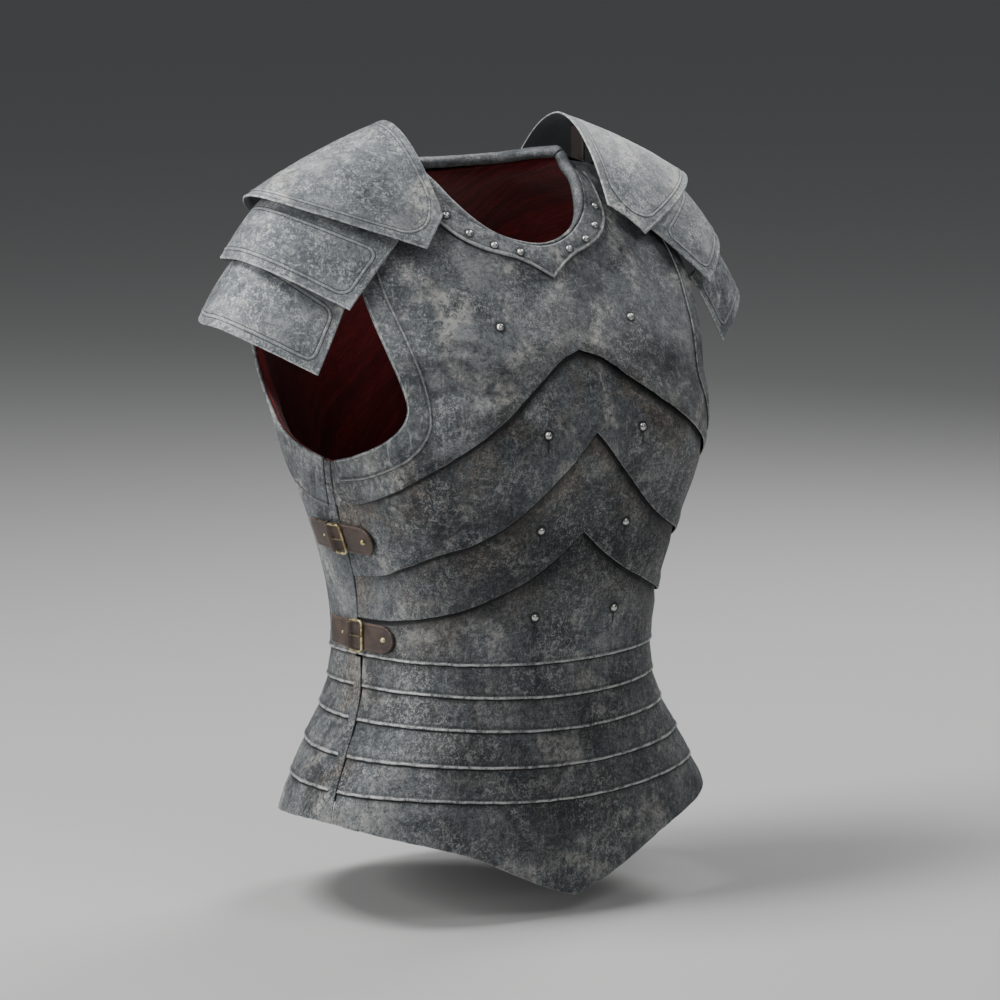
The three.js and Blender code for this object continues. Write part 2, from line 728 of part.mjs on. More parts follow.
function add(name, geometry, finish) {
  const mesh = new THREE.Mesh(geometry, new THREE.MeshStandardMaterial(finish));
  mesh.name = name;
  group.add(mesh);
}

// The same piece on the wearer's left and right.
function addPair(name, geometry, finish) {
  add(`${name}_l`, geometry, finish);
  add(`${name}_r`, mirrored(geometry), finish);
}

const frontSide = SEAM - SEAM_GAP;
const backSide = 180 - SEAM - SEAM_GAP;
const front = columnsTo(frontSide);
add('breast_upper', yoke(false, frontSide, CHEVRONS[0], 6), STEEL);
add('breast_lame_1', lappedPlate(front, CHEVRONS[0], CHEVRONS[1], 2), STEEL);
add('breast_lame_2', lappedPlate(front, CHEVRONS[1], CHEVRONS[2], 2), STEEL);
add('waist_plate', lappedPlate(front, CHEVRONS[2], skirtEdge(0), 2), STEEL);
add('back_plate', yoke(true, backSide, skirtEdge(0), 7), STEEL);

const skirtFront = columnsTo(frontSide - STRIP_HALF - STRIP_GAP);
const skirtBack = columnsTo(backSide - STRIP_HALF - STRIP_GAP, 180);
SKIRT_EDGES.forEach((_, i) => {
  const lower = i + 1 < SKIRT_EDGES.length ? skirtEdge(i + 1) : HEM;
  add(`skirt_front_${i + 1}`, lappedPlate(skirtFront, skirtEdge(i), lower, 0), STEEL);
  add(`skirt_back_${i + 1}`, lappedPlate(skirtBack, skirtEdge(i), lower, 0), STEEL);
});

const stripTop = skirtEdge(0)(SEAM) - 1.5;
const stripColumns = [SEAM - STRIP_HALF, SEAM + STRIP_HALF];
addPair('skirt_strip', plate(Array.from({ length: 7 }, (_, k) => stripColumns.map(
  (angle) => ({ angle, z: mix(stripTop, HEM(angle), k / 6), lift: 0.4 }))), PLATE), STEEL);

add('lining_front', lining(false, frontSide), CLOTH_RED);
add('lining_back', lining(true, backSide), CLOTH_RED);
addPair('armhole_band_front', armholeBand(false), STEEL);
addPair('armhole_band_back', armholeBand(true), STEEL);
add('collar_band', collarBand(), STEEL);
add('neck_rim_front', neckRim(-NECK_JOINT + 1.3, NECK_JOINT - 1.3, 22), STEEL);
add('neck_rim_back', neckRim(NECK_JOINT + 1.3, 360 - NECK_JOINT - 1.3, 18), STEEL);

['upper', 'middle', 'lower'].forEach((name, i) => {
  addPair(`pauldron_${name}`, lame(i), STEEL);
});
addPair('pauldron_leather', lameLeather(), LEATHER_BROWN);
addPair('pauldron_tab', lameTab(), LEATHER_BROWN);

['upper', 'lower'].forEach((name, i) => {
  const level = STRAP.levels[i];
  addPair(`strap_front_${name}`, strap(level, STRAP.tip, STRAP.joint, true), LEATHER_BROWN);
  addPair(`strap_back_${name}`, strap(level, STRAP.end, STRAP.joint + 0.6, false), LEATHER_BROWN);
  addPair(`buckle_${name}`, buckle(level), BRASS);
});
CHEST_RIVETS.forEach(({ angle, z }, i) => {
  addPair(`chest_rivet_${i + 1}`, rivetAt(angle, z, 0.5), RIVET_STEEL);
});

export default group;
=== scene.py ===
import math

import bpy
import numpy as np
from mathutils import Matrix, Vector


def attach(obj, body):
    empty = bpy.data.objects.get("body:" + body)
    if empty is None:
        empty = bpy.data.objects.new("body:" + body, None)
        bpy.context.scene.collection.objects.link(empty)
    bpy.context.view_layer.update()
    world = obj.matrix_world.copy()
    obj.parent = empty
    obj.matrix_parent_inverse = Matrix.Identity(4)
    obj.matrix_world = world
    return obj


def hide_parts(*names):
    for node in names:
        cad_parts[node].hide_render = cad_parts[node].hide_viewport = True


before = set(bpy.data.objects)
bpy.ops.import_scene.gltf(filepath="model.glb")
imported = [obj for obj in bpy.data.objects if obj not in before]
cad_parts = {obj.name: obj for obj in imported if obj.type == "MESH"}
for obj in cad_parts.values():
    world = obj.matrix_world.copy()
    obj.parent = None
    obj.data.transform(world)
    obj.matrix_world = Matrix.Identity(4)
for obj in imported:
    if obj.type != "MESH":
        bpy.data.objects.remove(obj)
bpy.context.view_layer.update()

MM = 0.001  # metres

# ---- dimensions, in millimetres and degrees

PLATE = 1.6
LAP = 10
# How far a plate sinks under the one above it, and stands out at its free edge
TUCKED, PROUD = -2.0, 1.25
SKIRT_TUCKED, SKIRT_PROUD = -0.8, 0.35
FADED_PROUD, FADED_PLATE = 0.35, 0.6
THIN_EDGE = 0.9
BEAD_HALF, BEAD_RISE = 1.25, 0.9
EDGE_ZONE, FADE_ZONE = (9, 16), (6, 34)
# Marks for the materials: distance of a point far from any edge, and the strength and level of the
# painted shade under the bust
FAR = 9.0
BUST_SHADE, BUST_SHADE_LEVEL = 0.9, -318
BAND_LIFT = 3.8
BAND_WIDTH, BAND_FACE, BAND_SHEET = 16.0, 1.3, 1.25
FRONT_ROLL, BACK_ROLL = 1.05, 1.8
LINING_LIFT, LINING_EDGE_LIFT = -7.0, -2.0
LINING, LINING_SETBACK, LINING_TURN = 2.0, 2.5, 14
LINING_TOP, LINING_FOOT = 9, -397.0
LAME = 2.0
LEATHER = 2.4
TOP = 15
CHEST = -150
MM_PER_DEGREE = 2.6  # along the body surface, roughly
SEAM, SEAM_GAP = 90, 0.14
STRIP_HALF, STRIP_GAP, STRIP_LIFT = 2.3, 0.04, 1.15
FRONT_SHOULDER, BACK_SHOULDER = 14.6, 14.9
NECK = dict(half_width=78, front=67, back=71, y=-2)
NECK_JOINT, NECK_JOINT_GAP = 94, 0.4
COLLAR_START, COLLAR_WIDTH, COLLAR_SHEET, COLLAR_FACE = 0.7, 15.0, 2.2, 2.5
RIM = dict(thick=5, thin=1.8, start=30, full=65, gap=1.8, plate_gap=0.3)
STRAP = dict(height=24, levels=(-306, -391), tip=-42, joint=-2, end=44, lift=3.0)
BUCKLE = dict(y=1.5, width=19, height=29, inset=1.4, bar=1.15, corner=3.2, lift=5.2)
TONGUE = (0.9, 0.6)
# Rivet heads: radius and height
CHEST_HEAD, COLLAR_HEAD, STRAP_HEAD, SMALL_HEAD = (3.2, 2.4), (3.0, 2.2), (2.7, 2.0), (1.3, 1.0)
ARCH_POWER = 1.85
CROWN_Y = 20
TAB_X = 112
CARRIER_WIDTH, TAB_WIDTH = 24, 20
OVER_BANDS = BAND_LIFT + LEATHER + 2.5

# Level sections: z half sideY frontY backY frontPow backPow droop
SECTIONS = np.array([
    (-616, 214, -36, -117, 168, 2.3, 2.2, 0), (-548, 195, -31, -118, 158, 2.3, 2.2, 0),
    (-521, 184, -23, -118, 151, 2.3, 2.2, 0), (-491, 167, -14, -117, 143, 2.4, 2.2, 0),
    (-461, 149, -5, -115, 133, 2.5, 2.2, 0), (-436, 140, 0, -114, 125, 2.5, 2.2, 0),
    (-408, 137, 4, -113.5, 120, 2.6, 2.2, 0), (-380, 137, 4, -115, 122, 2.8, 2.2, 0),
    (-344, 142, 2, -120, 130, 2.9, 2.2, 0), (-299, 158, -2, -127, 137, 3.0, 2.2, 0),
    (-265, 169, -6, -136, 143, 3.0, 2.4, 0), (-232, 176, -9, -143, 149, 3.0, 2.7, 0),
    (-207, 180, -10, -142, 150, 2.9, 2.9, 0), (-181, 190, -10, -131.5, 150, 2.5, 3.0, 0),
    (-149, 199, -10, -119, 150, 2.3, 3.0, 0), (-120, 203, -9, -101.5, 148, 2.2, 2.8, 2),
    (-93, 203, -6, -84.5, 141, 2.2, 2.6, 6), (-69, 200, -2, -70.5, 129, 2.2, 2.4, 12),
    (-50, 197, 1, -56, 115, 2.2, 2.3, 18), (-32, 195, 3, -41, 99, 2.2, 2.2, 25),
    (-10, 193, 5, -22, 77, 2.2, 2.2, 34), (2, 192, 6, -6, 52, 2.2, 2.2, 38),
    (10, 191, 7, 0, 32, 2.2, 2.2, 40), (15, 190, 7, 7, 7, 2.2, 2.2, 40)], float)

CHEVRON_ROWS = [
    [(0, -150.5), (6, -157.5), (14, -175), (22, -192), (29, -206), (40, -228), (50, -246),
     (60, -261), (75, -274), (92, -279)],
    [(0, -216.5), (5, -232), (9, -245), (18, -270), (25, -286.5), (36, -303.5), (48, -314),
     (60, -326), (72, -336), (92, -341)],
    [(0, -301), (7, -316.5), (12, -325.5), (20, -338), (27, -346), (40, -359.5), (53, -368),
     (70, -374.5), (92, -376.5)]]
HEM_ROWS = [(0, -611), (5, -605), (10, -598), (20, -582), (28, -569.5), (40, -557.5),
            (52, -549.5), (64, -544), (77, -540.5), (91, -539.5), (107, -542), (125, -548),
            (150, -560), (180, -577)]
# Skirt edges: level in front, at the side and behind
SKIRT_EDGES = [(-412, -408, -416), (-441, -434, -440), (-469, -460.5, -459),
               (-499, -489, -485), (-528, -516, -519)]
# Armhole: angle z bandAngle bandZ backAngle backZ
ARMHOLE = np.array([
    (56, 13, 49.5, 13, 49.5, 13), (56, -40, 49, -42, 49, -42), (55, -85, 47.8, -90, 47.5, -90),
    (54, -120, 46.4, -122, 46, -124), (52.5, -149, 45.1, -150, 44, -154),
    (51.2, -172, 44.5, -176, 43, -186), (51.5, -191, 45.8, -199, 44.5, -216),
    (56, -208, 49.5, -220, 50, -243), (64, -222.5, 56, -236, 60, -261),
    (76, -234, 69, -250, 73, -274), (87, -240, 84, -256.5, 86, -280)], float)
ARMHOLE_CORNER = 5.5
NECK_END, SHOULDER_END, CORNER_END = 24, 29, 46
ARMHOLE_BOTTOM = -241
COLLAR_EDGE = np.array([(0, -85.5), (14, -80), (30, -75), (45, -71.3), (61, -66), (75, -57.5),
                        (86, -45), (91, -28), (92, -10)], float)
COLLAR_END = 84
COLLAR_RIVETS = [(25.8, -72.3), (48.3, -66.3), (66.4, -55.9), (78.7, -40.8)]
# Chest rivets: angle z
CHEST_RIVETS = [(19.7, -128.5), (15.8, -216), (15.9, -297), (17.2, -371)]
# Shoulder lames, upper and lower edge of each: xTop zTop inset front back yMid half
LAME_EDGES = [(92, 35.5, 4.4, 74.5, 74.5, 24, 74), (226, -21, 110, 43, 55, 26, 92),
              (205, -19, 74, 39, 45, 25, 72), (250, -71, 58, 39, 12, 18.5, 80.5),
              (233, -62, 50, 44, 26, 18, 64), (279, -123, 63, 40, -8, 16, 67)]
LAME_BULGE = (4, 3, 3)
# Border moulding of each lame: inset at its ends, at its top and at its foot, corner radius
MOULDING = [dict(ends=10, top=9, foot=9, corner=17), dict(ends=9, top=19, foot=9, corner=10),
            dict(ends=8.5, top=13, foot=8.5, corner=8)]

# ---- curves and the body surface


def mix(a, b, f):
    return a + (b - a) * f


def smooth(x, a, b):
    t = np.clip((np.asarray(x, float) - a) / (b - a), 0, 1)
    return t * t * (3 - 2 * t)


def fall(x, a, b):
    """1 up to a, 0 from b on."""
    return 1 - smooth(x, a, b)


def by_angle(rows):
    """A smooth curve through the rows, for an angle of either sign up to a full turn."""
    xs, ys = np.array(rows, float).T
    n = len(xs)
    low, high = np.maximum(np.arange(n) - 1, 0), np.minimum(np.arange(n) + 1, n - 1)
    slope = (ys[high] - ys[low]) / (xs[high] - xs[low])

    def level(angle):
        x = np.abs(np.asarray(angle, float))
        x = np.where(x > 180, 360 - x, x)
        i = np.clip(np.searchsorted(xs, x) - 1, 0, n - 2)
        step = xs[i + 1] - xs[i]
        f = (x - xs[i]) / step
        return (ys[i] * (1 + 2 * f) * (1 - f) ** 2 + ys[i + 1] * f * f * (3 - 2 * f)
                + step * f * (1 - f) * (slope[i] * (1 - f) - slope[i + 1] * f))
    return level


def rows_at(rows, v):
    """Rows of a table at places v, counted in rows."""
    padded = np.vstack([2 * rows[0] - rows[1], rows, 2 * rows[-1] - rows[-2]])
    at = np.clip(np.asarray(v, float), 0, len(rows) - 1)
    i = np.minimum(np.floor(at).astype(int), len(rows) - 2)
    f = (at - i)[..., None]
    a, b, c, d = (padded[i + k] for k in range(4))
    return b + 0.5 * f * (c - a + f * (2 * a - 5 * b + 4 * c - d + f * (3 * (b - c) + d - a)))


DENSE = rows_at(SECTIONS, np.linspace(0, len(SECTIONS) - 1, 4601))
CHEVRONS = [by_angle(rows) for rows in CHEVRON_ROWS]
HEM = by_angle(HEM_ROWS)


def section(z):
    return [np.interp(z, DENSE[:, 0], DENSE[:, k]) for k in range(1, 8)]


def skin(angle, z):
    """Points of the body surface at angles from the centre of the front and levels."""
    half, side, front, back, front_pow, back_pow, droop = section(z)
    s, c = np.sin(np.radians(angle)), np.cos(np.radians(angle))
    power = np.where(c > 0, front_pow, back_pow)
    depth = np.where(c > 0, side - front, back - side)
    reach = (np.abs(s) ** power + np.abs(c) ** power) ** (-1 / power)
    x = half * reach * s
    return np.stack([x, side - depth * reach * c, z - droop * (x / 150) ** 2], -1)


def unit(v):
    return v / np.maximum(np.linalg.norm(v, axis=-1, keepdims=True), 1e-9)


def skin_out(angle, z):
    across = skin(angle + 0.5, z) - skin(angle - 0.5, z)
    up = skin(angle, np.minimum(z + 0.5, TOP)) - skin(angle, z - 0.5)
    return unit(np.cross(across, up))


def on_skin(angle, z, lift=0):
    """Points above the body surface and the outward directions there."""
    out = skin_out(angle, z)
    return skin(angle, z) + out * lift, out


def skin_under(x, y):
    """Angles and levels at which the upper body surface lies at (x, y), seen from above."""
    x, y = np.asarray(x, float), np.asarray(y, float)
    low, high = np.full(x.shape, float(CHEST)), np.full(x.shape, float(TOP))
    for _ in range(30):
        mid = (low + high) / 2
        half, side, front, back, front_pow, back_pow, _droop = section(mid)
        ahead = y < side
        power = np.where(ahead, front_pow, back_pow)
        depth = np.maximum(np.where(ahead, side - front, back - side), 0.01)
        size = (np.abs(x) / half) ** power + (np.abs(y - side) / depth) ** power
        low, high = np.where(size < 1, mid, low), np.where(size < 1, high, mid)
    return np.degrees(np.arctan2(x / half, (side - y) / depth)), low


def neck_plan(turn, outside):
    s, c = np.sin(np.radians(turn)), np.cos(np.radians(turn))
    depth = np.where(c > 0, NECK["front"], NECK["back"])
    return (NECK["half_width"] + outside) * s, NECK["y"] - (depth + outside) * c


def rim_radius(turn):
    return mix(RIM["thin"], RIM["thick"], smooth(np.abs(turn), RIM["start"], RIM["full"]))


# ---- unevenness of beaten metal


def noise(p, size, seed=0):
    """Smooth noise from -1 to 1 over points in millimetres, with features of a given size."""
    q = p / size + 31.7 * (seed + 1)
    i = np.floor(q).astype(np.int64)
    f = q - i
    f = f * f * (3 - 2 * f)

    def lattice(dx, dy, dz):
        n = ((i[..., 0] + dx) * 374761393 + (i[..., 1] + dy) * 668265263
             + (i[..., 2] + dz) * 1442695041 + seed * 97) & 0xFFFFFFFF
        n = ((n ^ (n >> 13)) * 1274126177) & 0xFFFFFFFF
        return ((n ^ (n >> 16)) & 0xFFFF) / 32767.5 - 1
    x, y, z = f[..., 0], f[..., 1], f[..., 2]

    def layer(dz):
        return mix(mix(lattice(0, 0, dz), lattice(1, 0, dz), x),
                   mix(lattice(0, 1, dz), lattice(1, 1, dz), x), y)
    return mix(layer(0), layer(1), z)


def dents(p):
    return 0.55 * noise(p, 58, 1) + 0.28 * noise(p, 26, 2) + 0.12 * noise(p, 11, 3)


def nicks(p):
    """How far an edge is worn back, unevenly along it."""
    return 0.35 * noise(p, 9, 5) + 0.2 * noise(p, 3.5, 6)


def ridge(distance, width, power=2):
    """A rounded ridge, 1 at distance 0."""
    return np.exp(-(distance / width) ** power)


# ---- meshes

NEAR_EDGE = np.array([0, 0.05, 0.2, 0.45, 0.8, 1.25, 1.8, 2.5, 3.6, 5.2])


def spread(length, step, edge=NEAR_EDGE, mark=None):
    """Places along a length, close together at its ends and, if given, round a mark."""
    edge = edge[edge < length * 0.35]
    n = max(int((length - 2 * edge[-1]) / step), 1)
    middle = np.linspace(edge[-1], length - edge[-1], n + 2)[1:-1]
    places = np.concatenate([edge, middle, length - edge[::-1]])
    if mark:
        at, reach, fine = mark
        near = np.arange(max(at - reach, edge[-1]), min(at + reach, length - edge[-1]), fine)
        outside = (places < at - reach - fine / 2) | (places > at + reach - fine / 2)
        places = np.sort(np.concatenate([places[outside], near]))
    return places


def arc(points, axis):
    """Distance along a grid's lines from their start."""
    step = np.linalg.norm(np.diff(points, axis=axis), axis=-1)
    start = np.zeros_like(np.take(step, [0], axis=axis))
    return np.concatenate([start, np.cumsum(step, axis=axis)], axis=axis)


def put_in_scene(name, data):
    made = bpy.data.objects.new(name, data)
    bpy.context.scene.collection.objects.link(made)
    return made


def make_object(name, part, look, node):
    """A mesh object in metres from points in millimetres, with its marks as attributes, that
    replaces a node of the CAD part."""
    points, faces, marks = part
    material, slot = look
    mesh = bpy.data.meshes.new(name)
    mesh.from_pydata(points * MM, [], faces)
    mesh.validate()
    mesh.shade_smooth()
    for key, values in marks.items():
        kind, field = ("FLOAT", "value") if values.ndim == 1 else ("FLOAT_VECTOR", "vector")
        data = mesh.attributes.new(key, kind, "POINT").data
        data.foreach_set(field, values.astype(np.float32).ravel())
    mesh.materials.append(material)
    made = put_in_scene(name, mesh)
    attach(made, "root")
    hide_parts(node)


def mirrored(part):
    points, faces, marks = part
    return points * [-1, 1, 1], [face[::-1] for face in faces], marks


def make_pair(name, part, look, node):
    """The part on the wearer's left and its mirror image on the right."""
    make_object(f"{name}_l", part, look, f"{node}_l")
    make_object(f"{name}_r", mirrored(part), look, f"{node}_r")


def grid_faces(index):
    """Quads of a grid of vertex numbers."""
    a, b, c, d = index[:-1, :-1], index[1:, :-1], index[1:, 1:], index[:-1, 1:]
    return np.stack([a, b, c, d], -1).reshape(-1, 4)


def shell(base, out, thick, raised=0.0, marks=None):
    """Points, faces and marks of a sheet with rounded edges. base is a grid of points of its
    outer face, out the outward directions, raised the relief of both faces."""
    rows, columns = base.shape[:2]
    down, along = arc(base, 0), arc(base, 1)
    border = np.minimum(np.minimum(down, down[-1:] - down),
                        np.minimum(along, along[:, -1:] - along))
    thick = np.broadcast_to(np.asarray(thick, float), (rows, columns))
    round_off = np.sqrt(1 - (1 - np.clip(border / (thick / 2), 0, 1)) ** 2)
    round_off[[0, -1], :] = 0
    round_off[:, [0, -1]] = 0
    middle = base + out * (raised - thick / 2)[..., None]
    half = (round_off * thick / 2)[..., None]
    outer, inner = middle + out * half, middle - out * half
    number = np.arange(rows * columns).reshape(rows, columns)
    behind = number.copy()
    behind[1:-1, 1:-1] = rows * columns + np.arange((rows - 2) * (columns - 2)).reshape(
        rows - 2, columns - 2)
    points = np.concatenate([outer.reshape(-1, 3), inner[1:-1, 1:-1].reshape(-1, 3)])
    turn = np.cross(base[1, 0] - base[0, 0], base[0, 1] - base[0, 0])
    quads, back = grid_faces(number), grid_faces(behind)
    if np.dot(turn, out[0, 0]) < 0:
        quads = quads[:, ::-1]
    else:
        back = back[:, ::-1]
    full = {"edge": border, "inside": np.zeros((rows, columns)),
            "grain": np.stack([along, down, np.zeros_like(down)], -1) * MM, **(marks or {})}
    by_point = {}
    for key, values in full.items():
        hidden = np.ones_like(values) if key == "inside" else values
        size = values.shape[2:]
        by_point[key] = np.concatenate([values.reshape((rows * columns,) + size),
                                        hidden[1:-1, 1:-1].reshape((-1,) + size)])
    return points, [*quads, *back], by_point


def together(*parts):
    """Several parts as one. A mark that a part doesn't have is zero there."""
    points, faces, marks, start = [], [], {}, 0
    every = {key: np.shape(value)[1:] for part in parts for key, value in part[2].items()}
    for p, f, m in parts:
        points.append(p)
        faces += [np.asarray(face) + start for face in f]
        start += len(p)
        for key, size in every.items():
            marks.setdefault(key, []).append(m.get(key, np.zeros((len(p),) + size)))
    return np.concatenate(points), faces, {k: np.concatenate(v) for k, v in marks.items()}


def filled(part, **values):
    """The part with the same value of a mark on every point."""
    points, faces, marks = part
    return points, faces, {**marks, **{key: np.full(len(points), float(value))
                                       for key, value in values.items()}}


def rings(n, sides, closed=False):
    """Quads between n rings of points, each closed on itself."""
    number = np.arange(n * sides).reshape(n, sides)
    number = np.concatenate([number, number[:, :1]], 1)
    if closed:
        number = np.concatenate([number, number[:1]], 0)
    return list(grid_faces(number))


def tube(path, radius, sides=20, closed=False, up=(0, 0, 1)):
    """A tube along a path, with flat ends unless it is closed."""
    n = len(path)
    radius = np.broadcast_to(np.asarray(radius, float), n)
    if closed:
        ahead = unit(np.roll(path, -1, 0) - np.roll(path, 1, 0))
    else:
        ahead = unit(np.gradient(path, axis=0))
    side = unit(np.cross(np.broadcast_to(up, ahead.shape), ahead))
    rise = np.cross(ahead, side)
    turn = 2 * np.pi * np.arange(sides) / sides
    ring = (np.cos(turn)[None, :, None] * side[:, None]
            + np.sin(turn)[None, :, None] * rise[:, None])
    points = (path[:, None] + ring * radius[:, None, None]).reshape(-1, 3)
    faces = rings(n, sides, closed)
    grain = np.stack([np.repeat(np.arange(n), sides), np.tile(turn, n), np.zeros(n * sides)], -1)
    if not closed:
        points = np.concatenate([points, path[:1], path[-1:]])
        grain = np.concatenate([grain, grain[:1], grain[-1:]])
        first, last = n * sides, n * sides + 1
        for k in range(sides):
            k2 = (k + 1) % sides
            faces.append(np.array([first, k, k2]))
            faces.append(np.array([last, (n - 1) * sides + k2, (n - 1) * sides + k]))
    marks = {"grain": grain * 2 * MM, "edge": np.full(len(points), FAR)}
    return points, [face[::-1] for face in faces], marks


# A rivet head's profile from its foot to its crown, in shares of its radius and height
PROFILE = [(1.0, -0.35), (1.02, 0.0), (1.0, 0.16), (0.94, 0.34), (0.84, 0.54), (0.7, 0.72),
           (0.52, 0.87), (0.3, 0.96), (0.12, 0.995)]


def dome(centre, out, size, seed=0):
    """A rivet head: a low dome with a rounded rim, its foot just below the surface."""
    radius, height = size
    side = unit(np.cross(out, [0.3, 0.2, 1.0]))
    other = np.cross(out, side)
    sides = 28
    turn = 2 * np.pi * np.arange(sides) / sides
    wobble = 1 + 0.03 * np.sin(2 * turn + seed) + 0.02 * np.sin(3 * turn + 2 * seed)
    ring = np.cos(turn)[:, None] * side + np.sin(turn)[:, None] * other
    points = np.concatenate([centre + ring * (radius * r * wobble)[:, None] + out * height * h
                             for r, h in PROFILE] + [[centre + out * height]])
    faces = rings(len(PROFILE), sides)
    top, crown = (len(PROFILE) - 1) * sides, len(points) - 1
    for k in range(sides):
        faces.append(np.array([top + k, crown, top + (k + 1) % sides]))
    faces.append(np.arange(sides))
    winding = np.cross(points[sides] - points[0], points[1] - points[0])
    if np.dot(winding, points[0] - centre) < 0:
        faces = [face[::-1] for face in faces]
    return points, faces, {"edge": np.full(len(points), FAR), "grain": points * MM}


# ---- materials


class Look:
    """A material and the nodes in it."""

    def __init__(self, name):
        self.material = bpy.data.materials.new(name)
        self.material.use_nodes = True
        self.tree = self.material.node_tree
        self.tree.nodes.clear()
        self.shader = self.tree.nodes.new("ShaderNodeBsdfPrincipled")
        end = self.tree.nodes.new("ShaderNodeOutputMaterial")
        self.tree.links.new(self.shader.outputs[0], end.inputs[0])

    def put(self, socket, value):
        if isinstance(value, bpy.types.NodeSocket):
            self.tree.links.new(value, socket)
        elif isinstance(value, tuple) and len(value) == 3 and len(socket.default_value) == 4:
            socket.default_value = (*value, 1)
        else:
            socket.default_value = value

    def node(self, kind, inputs=(), **settings):
        made = self.tree.nodes.new("ShaderNode" + kind)
        for key, value in settings.items():
            setattr(made, key, value)
        for key, value in dict(inputs).items():
            self.put(made.inputs[key], value)
        return made

    def place(self, scale=(1, 1, 1)):
        where = self.node("TexCoord").outputs["Object"]
        return self.node("Mapping", {"Vector": where, "Scale": scale}).outputs[0]

    def mark(self, name, vector=False):
        return self.node("Attribute", attribute_name=name).outputs["Vector" if vector else "Fac"]

    def noise(self, where, scale, detail=4, rough=0.55, warp=0.0):
        return self.node("TexNoise", {"Vector": where, "Scale": scale, "Detail": detail,
                                      "Roughness": rough, "Distortion": warp}).outputs[0]

    def math(self, how, a, b=0.0, clamp=False):
        return self.node("Math", {0: a, 1: b}, operation=how, use_clamp=clamp).outputs[0]

    def times(self, a, b):
        return self.math("MULTIPLY", a, b)

    def blend(self, a, share, b):
        return self.math("ADD", self.times(a, share), self.times(b, 1 - share))

    def vector(self, how, a, b=(0, 0, 0)):
        made = self.node("VectorMath", {0: a, 1: b}, operation=how)
        return made.outputs["Value" if how in ("DISTANCE", "LENGTH") else "Vector"]

    def fit(self, value, low, high, to_low=0.0, to_high=1.0):
        return self.node("MapRange", {"Value": value, "From Min": low, "From Max": high,
                                      "To Min": to_low, "To Max": to_high},
                         interpolation_type="SMOOTHSTEP").outputs[0]

    def spots(self, where, noise, *limits):
        return self.fit(self.noise(where, *noise), *limits)

    def mix(self, share, a, b, how="MIX"):
        made = self.node("Mix", data_type="RGBA", blend_type=how)
        for socket, value in zip((made.inputs[0], made.inputs[6], made.inputs[7]), (share, a, b)):
            self.put(socket, value)
        return made.outputs[2]

    def paint(self, tint, *shares, how="MIX"):
        """Lay a tint over the colour, by the product of the shares."""
        share = shares[0]
        for other in shares[1:]:
            share = self.times(share, other)
        self.color = self.mix(share, self.color, tint, how)

    def light(self, level):
        self.paint((level, level, level), 1.0, how="MULTIPLY")

    def bump(self, layers):
        normal = None
        for height, strength, distance in layers:
            inputs = {"Height": height, "Strength": strength, "Distance": distance}
            if normal is not None:
                inputs["Normal"] = normal
            normal = self.node("Bump", inputs).outputs[0]
        self.put(self.shader.inputs["Normal"], normal)

    def set(self, **values):
        for key, value in {"Base_Color": self.color, **values}.items():
            self.put(self.shader.inputs[key.replace("_", " ")], value)


# Round a chest or collar rivet, in metres: the dark ring, and the stain that runs down from it
RING = (0.0066, 0.0038)
RUN_DROP, RUN_HALF = 0.0085, (0.0012, 0.004, 0.0065)


